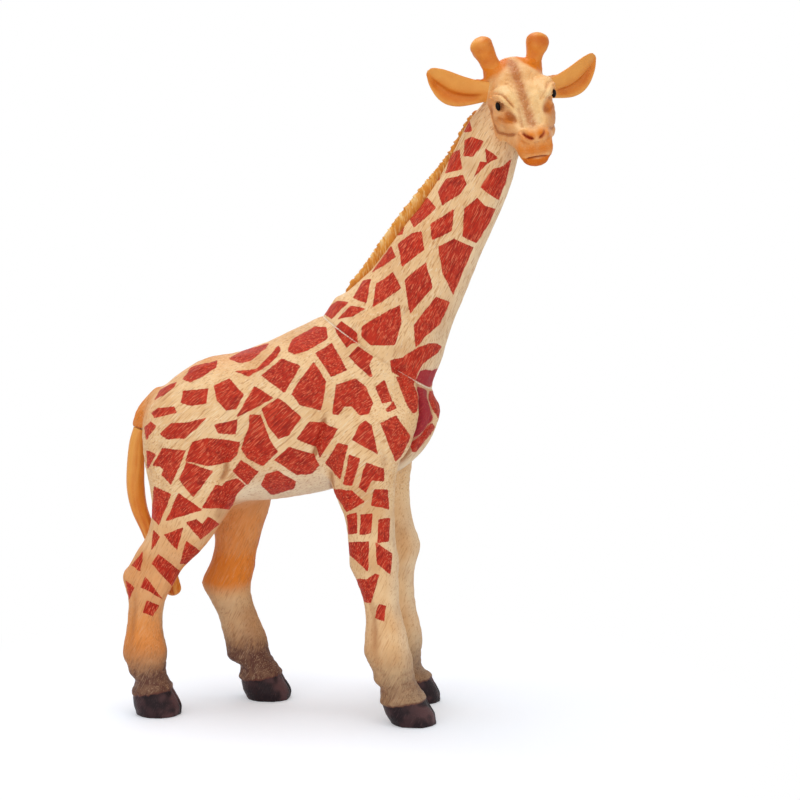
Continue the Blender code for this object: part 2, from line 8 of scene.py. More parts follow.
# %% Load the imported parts
import json
import math
import bmesh
import bpy
import numpy as np
from mathutils import Matrix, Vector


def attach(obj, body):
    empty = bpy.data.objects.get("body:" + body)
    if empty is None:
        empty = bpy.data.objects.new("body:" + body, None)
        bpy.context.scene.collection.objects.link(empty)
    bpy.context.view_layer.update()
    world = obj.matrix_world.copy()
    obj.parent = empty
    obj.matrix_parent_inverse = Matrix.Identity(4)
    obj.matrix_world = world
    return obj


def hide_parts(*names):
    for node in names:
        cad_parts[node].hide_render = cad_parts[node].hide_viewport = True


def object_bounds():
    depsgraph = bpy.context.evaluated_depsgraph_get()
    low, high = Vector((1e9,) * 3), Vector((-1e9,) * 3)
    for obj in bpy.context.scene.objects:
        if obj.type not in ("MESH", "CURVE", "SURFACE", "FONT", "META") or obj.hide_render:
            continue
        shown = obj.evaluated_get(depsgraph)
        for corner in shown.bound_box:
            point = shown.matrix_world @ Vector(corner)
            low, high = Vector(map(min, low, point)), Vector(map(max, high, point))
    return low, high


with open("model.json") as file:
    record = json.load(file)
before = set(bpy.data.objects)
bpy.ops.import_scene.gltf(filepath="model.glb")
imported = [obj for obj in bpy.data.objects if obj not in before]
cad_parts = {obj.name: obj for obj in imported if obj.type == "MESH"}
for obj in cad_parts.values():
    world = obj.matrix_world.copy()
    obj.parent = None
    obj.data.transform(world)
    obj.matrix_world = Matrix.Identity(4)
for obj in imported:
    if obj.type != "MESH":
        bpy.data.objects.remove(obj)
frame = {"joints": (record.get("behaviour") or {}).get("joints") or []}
cad_low, cad_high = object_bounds()
print("the parts' box, m:", [round(v, 4) for v in (*cad_low, *cad_high)])

# %% [markdown]
# ## Sizes
# All lengths here are in millimetres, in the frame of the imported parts. Outlines
# are tables of shares: each share is multiplied by the size that it follows. The
# tail's joint lies in the middle of the tail's seam, so it anchors the rump.

# %% Driving sizes
mm = 0.001
leg_reach = 100
leg_width = 12
body_length = 87
body_depth = 54
body_width = 38
neck_length = 80.5
neck_base_depth = 36.7
neck_base_width = 28
neck_lean = math.radians(60.6)
seam_slope = math.radians(33.7)
head_length = 37.5
head_depth = 20
head_width = 17.2
head_turn = math.radians(73)
head_nod = math.radians(33)
head_tilt = math.radians(11)
belly_height = 0.61 * leg_reach
dock_share = (-0.0115, 0.38)
seam_share = (0.79, 0.802)

dock = np.array(frame["joints"][0]["pos_m"]) / mm
tail_axis = np.array(frame["joints"][0]["axis"])
rump = dock - [body_length * dock_share[0], 0, belly_height + body_depth * dock_share[1]]
across = np.array([0.0, 1.0, 0.0])
seam_down = np.array([math.cos(seam_slope), 0, -math.sin(seam_slope)])
seam_normal = np.array([math.sin(seam_slope), 0, math.cos(seam_slope)])
neck_axis = np.array([math.cos(neck_lean), 0, math.sin(neck_lean)])
neck_front = np.array([math.sin(neck_lean), 0, -math.cos(neck_lean)])


def stacked(*parts):
    """Points from their parts along x, y and z: each part is one number or an array."""
    return np.stack(np.broadcast_arrays(*parts), -1)


def body_points(shares):
    """Points of the middle plane: shares of the body's length and depth from rump and belly."""
    shares = np.asarray(shares, float)
    x = body_length * shares[..., 0]
    z = belly_height + body_depth * shares[..., 1]
    return rump + stacked(x, 0, z)


seam_centre = body_points(seam_share)
head_origin = seam_centre + neck_axis * neck_length


def shoulder_points(shares):
    """Points of the middle plane: shares of the neck's depth along its seam and below it."""
    shares = np.asarray(shares, float)[..., None] * neck_base_depth
    return seam_centre + seam_down * shares[..., 0, :] - seam_normal * shares[..., 1, :]


def neck_points(shares):
    """Points of the middle plane: a share of the neck's length along it, of its depth across."""
    shares = np.asarray(shares, float)[..., None]
    return seam_centre + neck_axis * (neck_length * shares[..., 0, :]) + (
        neck_front * (neck_base_depth * shares[..., 1, :]))


print("rump", rump.round(2), "seam", seam_centre.round(2), "head", head_origin.round(2))

# %% [markdown]
# ## The camera
# The photo was taken almost square to the figure's right side, a little from the
# front and a little from above, with a long lens. The camera comes first because
# print and folds are placed by the picture: a point of the skin is turned into a
# pixel of the 800 by 800 frame, and compared with marks read from it.

# %% Camera
picture = 800
focal_pixels = 1421
camera_distance = 406
camera_azimuth = math.radians(6)
camera_elevation = math.radians(3.6)
# The point of the figure that falls in the middle of the picture
aim = rump + [75.4, -1, 90.48]
back = np.array([
    math.sin(camera_azimuth) * math.cos(camera_elevation),
    -math.cos(camera_azimuth) * math.cos(camera_elevation),
    math.sin(camera_elevation),
])
right = np.array([math.cos(camera_azimuth), math.sin(camera_azimuth), 0])
up = np.cross(back, right)
eye_point = aim + back * camera_distance


def standing(side, rise, behind, place):
    """The matrix that turns a camera or lamp to these three axes and sets it at a place, in metres."""
    return Matrix([*np.column_stack([side, rise, behind, place]).tolist(), [0, 0, 0, 1]])


camera_data = bpy.data.cameras.new("camera")
camera_data.sensor_width = 36
camera_data.lens = focal_pixels / picture * camera_data.sensor_width
camera_data.clip_start = camera_distance * mm / 10
camera = bpy.data.objects.new("camera", camera_data)
camera.matrix_world = standing(right, up, back, eye_point * mm)
bpy.context.scene.collection.objects.link(camera)
bpy.context.scene.camera = camera


def to_pixels(points):
    """Where points fall in the picture: right and down, in pixels, for a lens of focal_pixels."""
    seen = points - eye_point
    depth = -(seen @ back)
    across_picture = picture / 2 + focal_pixels * (seen @ right) / depth
    down_picture = picture / 2 - focal_pixels * (seen @ up) / depth
    return stacked(across_picture, down_picture)


print("head falls at pixel", to_pixels(head_origin).round(1))

# %% [markdown]
# ## Curves, tubes and meshes
# A body like this could be sculpted from a ball. It is easier to keep true to a
# photo if it is lofted: ovals follow the outline, and the surface joins them. One
# smooth curve runs through each table, so few rows give a fair shape.

# %% Curves and tubes
def unit(vectors):
    """The same directions, each of length 1."""
    return vectors / np.linalg.norm(vectors, axis=-1, keepdims=True)


def listed(text):
    """Rows of numbers, written as words such as 438,192."""
    return [tuple(float(number) for number in word.split(",")) for word in text.split()]


def through(rows, count):
    """Rows at even steps of the cubic curve that passes through all given rows (Catmull-Rom)."""
    rows = np.asarray(rows, float)
    place = np.linspace(0, len(rows) - 1, count)
    k = np.minimum(place.astype(int), len(rows) - 2)
    t = (place - k).reshape((-1,) + (1,) * (rows.ndim - 1))
    a, b, c = rows[np.maximum(k - 1, 0)], rows[k], rows[k + 1]
    d = rows[np.minimum(k + 2, len(rows) - 1)]
    return b + t * (c - a + t * (2 * a - 5 * b + 4 * c - d + t * (3 * b - a - 3 * c + d))) / 2


def ovals(centre, side, rise, half_side, half_rise, sides, squareness=2):
    """Rings: centre + side * half_side * cos^(2/q) + rise * half_rise * sin^(2/q), q the squareness."""
    angle = np.linspace(0, math.tau, sides, endpoint=False)
    c = np.sign(np.cos(angle)) * np.abs(np.cos(angle)) ** (2 / squareness)
    s = np.sign(np.sin(angle)) * np.abs(np.sin(angle)) ** (2 / squareness)
    c, s = c[None, :, None], s[None, :, None]
    side, rise = np.broadcast_to(side, centre.shape), np.broadcast_to(rise, centre.shape)
    half_side, half_rise = np.reshape(half_side, (-1, 1, 1)), np.reshape(half_rise, (-1, 1, 1))
    return centre[:, None] + side[:, None] * half_side * c + rise[:, None] * half_rise * s


def between(back_line, front_line, half_side, sides):
    """Ovals that span from a back line to a front line, with the given half widths."""
    reach = back_line - front_line
    depth = np.linalg.norm(reach, axis=1, keepdims=True)
    return ovals((back_line + front_line) / 2, across, reach / depth, half_side, depth / 2, sides)


cap_steps = 6


def capped(rings, start_reach=0, end_reach=0, steps=cap_steps):
    """The rings with a rounded cap at each end: they shrink by cos while they move on by sin."""
    angles = np.linspace(0, math.pi / 2, steps + 1)[1:-1]
    parts = [rings]
    for end, inner, reach in ((0, 1, start_reach), (-1, -2, end_reach)):
        if not reach:
            continue
        centre = rings[end].mean(0)
        way = unit(centre - rings[inner].mean(0))
        grown = [centre + (rings[end] - centre) * math.cos(a) + way * reach * math.sin(a) for a in angles]
        parts = [np.array(grown[::-1]), *parts] if end == 0 else [*parts, np.array(grown)]
    return np.concatenate(parts)


def tube(rings):
    """Points and faces of a closed tube: quads between rings, and a fan to a pole at each end."""
    count, sides = rings.shape[:2]
    points = np.concatenate([rings.reshape(-1, 3), [rings[0].mean(0), rings[-1].mean(0)]])
    row = np.arange(count - 1)[:, None] * sides
    here, after = np.arange(sides), (np.arange(sides) + 1) % sides
    quads = np.stack([row + here, row + after, row + sides + after, row + sides + here], -1).reshape(-1, 4)
    last = (count - 1) * sides
    first_pole, last_pole = count * sides, count * sides + 1
    start = np.stack([after, here, np.full(sides, first_pole)], -1)
    end = np.stack([last + here, last + after, np.full(sides, last_pole)], -1)
    return points, [quads, np.concatenate([start, end])]


def add_mesh(name, tubes):
    """One object from several tubes, with its faces pointing out."""
    loops, starts, sizes, all_points, base, filled = [], [], [], [], 0, 0
    for points, face_sets in tubes:
        for faces in face_sets:
            loops.append((faces + base).ravel())
            starts.append(filled + np.arange(len(faces)) * faces.shape[1])
            sizes.append(np.full(len(faces), faces.shape[1]))
            filled += faces.size
        all_points.append(points)
        base += len(points)
    points, loops = np.concatenate(all_points) * mm, np.concatenate(loops)
    starts, sizes = np.concatenate(starts), np.concatenate(sizes)
    mesh = bpy.data.meshes.new(name)
    mesh.vertices.add(len(points))
    mesh.vertices.foreach_set("co", points.ravel())
    mesh.loops.add(len(loops))
    mesh.loops.foreach_set("vertex_index", loops)
    mesh.polygons.add(len(starts))
    mesh.polygons.foreach_set("loop_start", starts)
    mesh.update(calc_edges=True)
    mesh.validate()
    bm = bmesh.new()
    bm.from_mesh(mesh)
    bmesh.ops.recalc_face_normals(bm, faces=bm.faces)
    bm.to_mesh(mesh)
    bm.free()
    mesh.shade_smooth()
    obj = bpy.data.objects.new(name, mesh)
    bpy.context.scene.collection.objects.link(obj)
    return obj


def positions(obj):
    """The object's points, in millimetres."""
    flat = np.empty(len(obj.data.vertices) * 3, np.float32)
    obj.data.vertices.foreach_get("co", flat)
    return flat.reshape(-1, 3).astype(float) / mm


def directions(obj):
    """The outward direction at each point."""
    flat = np.empty(len(obj.data.vertices) * 3, np.float32)
    obj.data.vertex_normals.foreach_get("vector", flat)
    return flat.reshape(-1, 3).astype(float)


def move_to(obj, points):
    """Put the object's points at new places, given in millimetres."""
    obj.data.vertices.foreach_set("co", (points * mm).astype(np.float32).ravel())
    obj.data.update()


def bake_modifiers(obj):
    """Let the object's mesh become what its modifiers make of it."""
    obj_eval = obj.evaluated_get(bpy.context.evaluated_depsgraph_get())
    made = bpy.data.meshes.new_from_object(obj_eval)
    obj.modifiers.clear()
    old = obj.data
    obj.data = made
    bpy.data.meshes.remove(old)
    obj.data.shade_smooth()


def relax(obj, rounds, weight=None, plump=True):
    """Pull each point to its neighbours' mean; plump pushes it back a little more, so nothing shrinks."""
    pull, push = 0.5, -0.53
    edges = np.empty(len(obj.data.edges) * 2, np.int32)
    obj.data.edges.foreach_get("vertices", edges)
    a, b = edges.reshape(-1, 2).T
    points = positions(obj)
    neighbours = np.bincount(a, minlength=len(points)) + np.bincount(b, minlength=len(points))
    weight = np.ones(len(points)) if weight is None else weight
    for _ in range(rounds):
        for step in (pull, push) if plump else (pull,):
            mean = np.stack([
                np.bincount(a, points[b, k], len(points)) + np.bincount(b, points[a, k], len(points))
                for k in range(3)
            ], 1) / neighbours[:, None]
            points += (mean - points) * (step * weight)[:, None]
    move_to(obj, points)


def fuse(obj, voxel):
    """Melt the object's overlapping tubes into one skin with faces of one size."""
    melt = obj.modifiers.new("melt", 'REMESH')
    melt.mode = 'VOXEL'
    melt.voxel_size = voxel * mm
    melt.adaptivity = 0
    bake_modifiers(obj)


def refine(obj):
    """Split each face in four and round the skin between them."""
    finer = obj.modifiers.new("finer", 'SUBSURF')
    finer.levels = 1
    finer.render_levels = 1
    bake_modifiers(obj)


# %% [markdown]
# ## The hide: trunk, legs and neck as one skin
# On the real figure the neck is a separate moulding, but its surface runs on
# across the glue line, and so does the print. So trunk, legs and neck are lofted
# apart, melted into one skin, smoothed where they meet, and cut apart at the end.

# %% Outlines of trunk and neck
# Rows: back point and front point as shares along and up, and half width as a share
torso_shares = listed("""
    0.012,0.47,0.042,0.055,0.5 0.044,0.565,0.066,-0.045,0.68 0.126,0.68,0.115,-0.1,0.84
    0.23,0.77,0.224,-0.075,0.91 0.333,0.8,0.333,-0.01,0.96 0.437,0.86,0.448,0.005,1
    0.517,0.922,0.586,0.045,0.98 0.56,0.955,0.724,0.093,0.93
""")
shoulder_shares = listed("""
    -0.544,0.057,0.664,0.688,1.15 -0.52,0.023,0.74,0.385,1.07 -0.508,0.008,0.675,0.107,1.02
""")
neck_shares = listed("""
    0.095,-0.485,0.04,0.48,0.98 0.145,-0.42,0.09,0.47,0.92 0.24,-0.355,0.19,0.415,0.82
    0.335,-0.32,0.29,0.385,0.74 0.445,-0.285,0.42,0.345,0.67 0.54,-0.25,0.54,0.32,0.62
    0.63,-0.237,0.65,0.3,0.585 0.73,-0.24,0.76,0.26,0.56 0.845,-0.252,0.85,0.205,0.54
    0.93,-0.225,0.94,0.14,0.42
""")


def outline(table, place, half_width):
    """The table's back points, front points and half widths, as one row of seven lengths each."""
    table = np.asarray(table)
    return np.hstack([place(table[:, 0:2]), place(table[:, 2:4]), table[:, 4:] * half_width])


torso_rows = np.vstack([
    outline(torso_shares, body_points, body_width / 2),
    outline(shoulder_shares, shoulder_points, neck_base_width / 2),
])
seam_row = np.array([[
    *(seam_centre - seam_down * neck_base_depth / 2), *(seam_centre + seam_down * neck_base_depth / 2),
    neck_base_width / 2,
]])
neck_rows = outline(neck_shares, neck_points, neck_base_width / 2)
trunk_sides, trunk_steps = 96, 120
trunk = np.vstack([through(torso_rows, trunk_steps), seam_row, through(neck_rows, trunk_steps)])
trunk_rings = between(trunk[:, 0:3], trunk[:, 3:6], trunk[:, 6], trunk_sides)
print("trunk and neck rings", trunk_rings.shape)

# %% Outlines of the legs
# Rows: height, back, front, the middle's way out from the middle plane, half width
leg_shares = {
    "right_fore": listed("""
        0.95,-0.12,0.03,0.42,0.8 0.875,-0.17,0.06,0.53,1.2 0.8,-0.18,0.046,0.6,1.3
        0.745,-0.185,0.016,0.63,1.27 0.66,-0.175,0.003,0.645,1.15 0.58,-0.142,0.005,0.645,1
        0.49,-0.129,0.008,0.64,0.9 0.44,-0.125,0.009,0.63,0.9 0.4,-0.105,0.009,0.63,0.83
        0.34,-0.086,0.014,0.63,0.75 0.285,-0.081,0.026,0.63,0.73 0.22,-0.086,0.04,0.63,0.77
        0.19,-0.084,0.051,0.63,0.81 0.13,-0.053,0.059,0.63,0.82 0.085,-0.04,0.082,0.63,0.87
        0.06,-0.038,0.098,0.63,0.95 0.026,-0.026,0.117,0.63,1 0,-0.01,0.12,0.63,0.97
    """),
    "left_fore": listed("""
        0.95,-0.12,0.03,0.42,0.8 0.875,-0.16,0.06,0.53,1.2 0.8,-0.165,0.05,0.6,1.25
        0.71,-0.16,0.028,0.63,1.2 0.58,-0.12,0.024,0.63,1 0.485,-0.09,0.046,0.63,0.92
        0.455,-0.09,0.046,0.63,0.92 0.415,-0.08,0.036,0.63,0.87 0.37,-0.068,0.031,0.63,0.78
        0.29,-0.06,0.036,0.63,0.73 0.225,-0.065,0.051,0.63,0.77 0.185,-0.07,0.056,0.63,0.82
        0.13,-0.045,0.052,0.63,0.82 0.095,-0.035,0.06,0.63,0.87 0.07,-0.04,0.088,0.63,0.93
        0.02,-0.025,0.113,0.63,1 0,-0.012,0.112,0.63,0.97
    """),
    "right_hind": listed("""
        0.88,0.1,0.25,0.37,1 0.78,0.044,0.29,0.45,1.38 0.68,0.039,0.315,0.5,1.45
        0.6,0.05,0.283,0.525,1.3 0.52,0.036,0.23,0.525,1.13 0.475,0.007,0.19,0.525,1
        0.43,-0.018,0.14,0.525,0.9 0.4,-0.038,0.12,0.525,0.87 0.34,-0.022,0.09,0.525,0.8
        0.29,-0.023,0.078,0.525,0.73 0.24,-0.029,0.077,0.525,0.73 0.19,-0.038,0.089,0.525,0.8
        0.16,-0.035,0.088,0.525,0.83 0.125,-0.01,0.087,0.525,0.82 0.085,-0.006,0.1,0.525,0.87
        0.06,-0.013,0.116,0.525,0.93 0.022,-0.008,0.132,0.525,1 0,-0.002,0.13,0.525,0.97
    """),
    "left_hind": listed("""
        0.88,0.13,0.29,0.37,1 0.78,0.09,0.33,0.45,1.33 0.68,0.11,0.35,0.5,1.33 0.6,0.145,0.361,0.525,1.2
        0.52,0.175,0.335,0.525,1 0.475,0.186,0.32,0.525,0.93 0.42,0.176,0.306,0.525,0.87
        0.35,0.146,0.293,0.525,0.87 0.31,0.162,0.293,0.525,0.82 0.25,0.193,0.312,0.525,0.73
        0.185,0.211,0.34,0.525,0.75 0.135,0.224,0.35,0.525,0.83 0.1,0.257,0.374,0.525,0.83
        0.065,0.259,0.394,0.525,0.93 0.025,0.268,0.416,0.525,1 0,0.28,0.414,0.525,0.97
    """),
}
foreleg_root_share = 0.862
leg_sides, leg_steps = 48, 160


def leg_line(name):
    """Down a leg: its centre, half length and half width, in mm."""
    rows = through(leg_shares[name], leg_steps)
    side = -1 if name.startswith("right") else 1
    root = body_length * foreleg_root_share if name.endswith("fore") else 0
    x = root + leg_reach * (rows[:, 1] + rows[:, 2]) / 2
    centre = rump + stacked(x, side * body_width / 2 * rows[:, 3], leg_reach * rows[:, 0])
    return centre, leg_reach * (rows[:, 2] - rows[:, 1]) / 2, leg_width / 2 * rows[:, 4]


def leg_rings(name):
    """Level ovals down the leg: each spans from its back to its front, at its own way out."""
    centre, half_length, half_width = leg_line(name)
    return ovals(centre, across, [1, 0, 0], half_width, half_length, leg_sides)


# Rows: way forward and up from the tail's seam, and radius, in mm
stub_rows = listed("-0.1,0,2.3 0.2,2,2.35 1.1,4.3,2.4 3.2,7.4,2.9 7.4,10.5,3.6")
stub_sides, stub_steps = 32, 24


def stub_rings():
    """Round sections of the dock: from the tail's seam up into the rump, square to their line."""
    rows = through(stub_rows, stub_steps)
    centre = dock + stacked(rows[:, 0], 0, rows[:, 1])
    way = unit(np.gradient(centre, axis=0))
    return ovals(centre, across, np.cross(way, across), rows[:, 2], rows[:, 2], stub_sides)


hide = add_mesh("hide", [tube(capped(trunk_rings, start_reach=0.6, end_reach=4)), tube(stub_rings())] + [
    tube(capped(leg_rings(name), start_reach=leg_width / 2)) for name in leg_shares
])
hide_voxel = 0.84
fuse(hide, hide_voxel)
print("melted hide points", len(hide.data.vertices))

# %% [markdown]
# Where a leg's tube comes out of the trunk the melted skin has a hard crease. The
# real figure swells from trunk to thigh, so the skin is relaxed there more than
# elsewhere: a soft weight fades in at the leg roots and out at knee and back.

# %% Relax the skin
def fade(values, start, end):
    """0 before start, 1 after end, and 3t^2 - 2t^3 between them."""
    t = np.clip((values - start) / (end - start), 0, 1)
    return t * t * (3 - 2 * t)


hide_points = positions(hide)
root_fade, back_fade = (46, 54), (90, 100)
near_roots = fade(hide_points[:, 2], *root_fade) * (1 - fade(hide_points[:, 2], *back_fade))
dock_clear = (5, 10)
near_roots *= fade(np.linalg.norm(hide_points - dock, axis=1), *dock_clear)
relax(hide, 6)
relax(hide, 34, weight=near_roots, plump=False)
relax(hide, 8)
sole = 0.0
settled = positions(hide)
settled[:, 2] = np.maximum(settled[:, 2], sole)
move_to(hide, settled)
refine(hide)
print("hide points", len(hide.data.vertices), "faces", len(hide.data.polygons))

# %% [markdown]
# ## Noise, lines and leg coordinates
# Sculptors work with strokes: a crease here, a swelling there. The same is done
# with numbers: a stroke is a short line in the picture, and each point of the skin
# moves in or out by how near its own pixel lies to it. Noise keeps strokes alive.

# %% Noise
def noise(places, seed=0):
    """Value noise from -1 to 1: hashed values at the corners of unit cells, blended by 3t^2 - 2t^3."""
    cell = np.floor(places).astype(np.int64)
    t = places - cell
    t = t * t * (3 - 2 * t)
    total = np.zeros(places.shape[:-1])
    for corner in np.ndindex(2, 2, 2):
        # Large primes and masks scatter the bits of the corner's three whole numbers
        k = cell + corner
        h = (k[..., 0] * 73856093) ^ (k[..., 1] * 19349663) ^ (k[..., 2] * 83492791) ^ (seed * 7919)
        h = (h ^ (h >> 13)) & 0x7FFFFFFF
        h = (h * 1274126177) & 0x7FFFFFFF
        total += np.prod(np.where(corner, t, 1 - t), -1) * (h / 0x3FFFFFFF - 1)
    return total


def stretched(points, way, length, width, seed=0):
    """Noise drawn out along a direction: cells are length long along it and width wide across it."""
    way = unit(way)
    along = points @ way
    return noise(points / width + np.outer(along, way) * (1 / length - 1 / width), seed)


def bell(distance, width):
    """exp(-(distance / width)^2): 1 on the line and nearly 0 two widths away."""
    return np.exp(-(distance / width) ** 2)


# %% Lines and patches in the picture
def line_offset(pixels, line):
    """Distance of pixels to a chain of points, the side they are on, and their share along it."""
    line = np.asarray(line, float)
    best = np.full(len(pixels), np.inf)
    side, share = np.zeros(len(pixels)), np.zeros(len(pixels))
    lengths = np.linalg.norm(np.diff(line, axis=0), axis=1)
    walked = np.concatenate([[0], np.cumsum(lengths)])
    for start, end, length, before in zip(line[:-1], line[1:], lengths, walked):
        way = (end - start) / length
        offset = pixels - start
        along = np.clip(offset @ way, 0, length)
        distance = np.linalg.norm(offset - along[:, None] * way, axis=1)
        nearer = distance < best
        best = np.where(nearer, distance, best)
        side = np.where(nearer, offset[:, 0] * way[1] - offset[:, 1] * way[0], side)
        share = np.where(nearer, (before + along) / walked[-1], share)
    return best, np.where(side >= 0, 1.0, -1.0), share


def patch_depth(pixels, outlines):
    """How deep pixels lie inside the nearest of several closed outlines; outside it is below 0."""
    reach = 9
    deepest = np.full(len(pixels), -float(reach))
    for corners in outlines:
        corners = np.asarray(corners, float)
        low, high = corners.min(0) - reach, corners.max(0) + reach
        near = np.flatnonzero(((pixels > low) & (pixels < high)).all(1))
        if not len(near):
            continue
        spots = pixels[near]
        loop = np.vstack([corners, corners[:1]])
        distance = line_offset(spots, loop)[0]
        inside = np.zeros(len(spots), bool)
        for a, b in zip(loop[:-1], loop[1:]):
            crossed = (a[1] > spots[:, 1]) != (b[1] > spots[:, 1])
            edge = (b[0] - a[0]) * (spots[:, 1] - a[1]) / (b[1] - a[1] + 1e-12) + a[0]
            inside ^= crossed & (spots[:, 0] < edge)
        deepest[near] = np.maximum(deepest[near], np.where(inside, distance, -distance))
    return deepest


# %% Where each point of the hide sits
skin = positions(hide)
outward = directions(hide)
height = skin[:, 2]
is_left = skin[:, 1] > rump[1]
is_fore = skin[:, 0] > rump[0] + 50
leg_top_fade = (52, 66)
on_leg = 1 - fade(height, *leg_top_fade)
leg_x, leg_y, leg_half, leg_wide = (np.zeros(len(skin)) for _ in range(4))
twin_shift = np.zeros(len(skin))
for leg_name in leg_shares:
    centre, *halves = leg_line(leg_name)
    heights = centre[::-1, 2]
    own = (is_left == leg_name.startswith("left")) & (is_fore == leg_name.endswith("fore"))
    for store, values in zip((leg_x, leg_y, leg_half, leg_wide), (centre[:, 0], centre[:, 1], *halves)):
        store[own] = np.interp(height[own], heights, values[::-1])
    if leg_name.startswith("left"):
        near_centre = leg_line(leg_name.replace("left", "right"))[0][::-1]
        twin_shift[own] = leg_x[own] - np.interp(height[own], near_centre[:, 2], near_centre[:, 0])
leg_fore = (skin[:, 0] - leg_x) / leg_half
leg_out = (skin[:, 1] - leg_y) * np.where(is_left, 1, -1) / leg_wide

twin = skin.copy()
twin[:, 1] = 2 * rump[1] - twin[:, 1]
twin[:, 0] -= twin_shift * (1 - fade(height, 60, 88))
neck_off = (skin - seam_centre) @ seam_normal
near_reach = 1.5
is_far = skin[:, 1] > rump[1] + near_reach
spot_pixels = to_pixels(np.where(is_far[:, None], twin, skin))
mirrored = np.where(is_far[:, None], outward * [1, -1, 1], outward)
facing = mirrored @ back
print("points:", len(skin), "on the far side:", int(is_far.sum()))

# %% [markdown]
# ## Relief of the hide
# The sculptor cut folds behind the shoulder and in front of the thigh, let muscles
# swell and scratched hair into the surface. Hooves, fetlocks and dewclaws follow each
# leg's own line. All of it is one number for each point: how far it moves out.

# %% Strokes
def mark(obj, name, values):
    """Store one number for each point of the object, for its paint to read."""
    obj.data.attributes.new(name, 'FLOAT', 'POINT')
    obj.data.attributes[name].data.foreach_set("value", np.asarray(values, np.float32))


class Sculpt:
    """Strokes on a skin: relief is how far each point moves out, pixels where it falls in the picture."""

    def __init__(self, pixels, seen):
        self.pixels, self.seen, self.relief = pixels, seen, np.zeros(len(pixels))

    def near(self, line, reach):
        """The points near a line, with their distance to it, side of it and share along it."""
        low, high = np.min(line, 0) - reach, np.max(line, 0) + reach
        near = np.flatnonzero(((self.pixels > low) & (self.pixels < high)).all(1) & (self.seen > 0))
        return near, *line_offset(self.pixels[near], line)

    def along(self, line, width):
        """A share for each point: bell(distance, width), fading out at the line's two ends."""
        near, distance, _, share = self.near(line, 3 * width)
        values = np.zeros(len(self.seen))
        ends = fade(share, 0, 0.15) * (1 - fade(share, 0.85, 1))
        values[near] = bell(distance, width) * (0.15 + 0.85 * ends) * self.seen[near]
        return values

    def groove(self, line, width, depth):
        """Sink along a line; a depth below 0 raises a ridge."""
        self.relief -= depth * self.along(line, width)

    def ledge(self, line, width, rise, reach):
        """Raise one side of a line by rise: a smooth step that dies away over reach."""
        near, distance, side, share = self.near(line, 2.5 * reach)
        step = fade(side * distance, -width, width) * bell(distance, reach)
        ends = fade(share, 0, 0.12) * (1 - fade(share, 0.88, 1))
        self.relief[near] += rise * step * ends * self.seen[near]

    def oval(self, centre, radii, turn=0):
        """A share for each point: exp(-d^2), where d is 1 on the oval's edge."""
        turn = math.radians(turn)
        offset = self.pixels - centre
        along = offset[:, 0] * math.cos(turn) + offset[:, 1] * math.sin(turn)
        aside = offset[:, 1] * math.cos(turn) - offset[:, 0] * math.sin(turn)
        return np.exp(-(along / radii[0]) ** 2 - (aside / radii[1]) ** 2) * self.seen

    def swelling(self, centre_and_radii, rise, turn=0):
        """Raise a soft oval."""
        self.relief += rise * self.oval(*centre_and_radii, turn)

    def work(self, strokes):
        """Work in a table of strokes: in each row a kind, its numbers, and its points in pixels."""
        for row in strokes.strip().splitlines():
            kind, *words = row.split()
            numbers = [float(word) for word in words if "," not in word]
            points = [point for word in words if "," in word for point in listed(word)]
            getattr(self, kind)(points, *numbers)


# %% Folds and muscles
coat = Sculpt(spot_pixels, fade(facing, 0.0, 0.25))
# Grooves: width and depth. Ledges: width, rise and reach. Swellings: rise and turn
coat.work("""
groove 3 0.85 220,482 225,471 225.5,456 223.5,441
ledge 3 0.6 13 220,482 225,471 225.5,456 223.5,441 221,428 219,414
groove 3.2 1.15 326,416 323,432 318,447 314,460
ledge 2.2 0.7 11 326,416 323,432 318,447 314,460
groove 2.4 0.55 330,470 331,482 333,492
ledge 1.5 1.15 12 396,464 407.5,445 414,428 417,414 417,398 415,384
groove 2.2 1.5 400,465 411,447 417.5,430 420.5,415 420.5,399 418.5,385
groove 2.4 0.35 393,364 401,375 406,389 409.5,404
groove 2 0.45 428,391 432,402 432.5,414 428,428 418,444
groove 5 0.25 372,420 380,440 384,458 384,476
groove 5 0.25 232,486 226,500 214,520
groove 6 0.3 160,440 166,462 163,490 158,515
swelling 0.45 8 365,425 26,36
swelling 0.5 10 190,455 26,44
swelling 0.35 35 200,520 12,26
swelling 0.35 0 270,440 34,26
swelling 0.4 0 437,410 5,16
groove 4.5 0.1 250,400 247,425 240,450
groove 4.5 0.1 268,400 265,425 258,450
groove 4.5 0.1 286,400 283,425 276,450
""")
print("deepest fold, mm:", coat.relief.min().round(2))
relief = coat.relief

# %% Hooves, fetlocks and dewclaws
coronet = np.where(is_fore, 6.4, 6.8) + 0.9 * leg_fore
below_coronet = on_leg * (1 - fade(height, coronet - 0.5, coronet + 0.3))
strand = noise(skin / [0.9, 0.9, 5], 31)
fringe = bell(height - coronet - 0.7 - 0.6 * strand, 0.8)
fringe_rise, hoof_sink, hoof_swell, hoof_middle = 0.32, 0.30, 0.22, 3
relief += on_leg * (
    fringe_rise * fringe - hoof_sink * below_coronet + hoof_swell * bell(height - hoof_middle, 2))
cleft_depth, heel_depth, ring_depth = 0.6, 0.5, 0.05
relief -= cleft_depth * bell(leg_out, 0.1) * fade(leg_fore, 0.35, 0.9) * below_coronet
relief -= heel_depth * bell(leg_out, 0.12) * fade(-leg_fore, 0.6, 0.95) * below_coronet
relief += ring_depth * below_coronet * noise(stacked(0, 0, height / 0.7), 32)
claw_rise, claw_height, claw_aside, pastern_depth, pastern_height = 0.85, 12.6, 0.42, 0.35, 9.9
for claw_out in (-claw_aside, claw_aside):
    distance = np.hypot((leg_out - claw_out) * 3.2, height - claw_height)
    relief += claw_rise * bell(distance, 1.5) * fade(-leg_fore, 0.3, 0.8) * on_leg
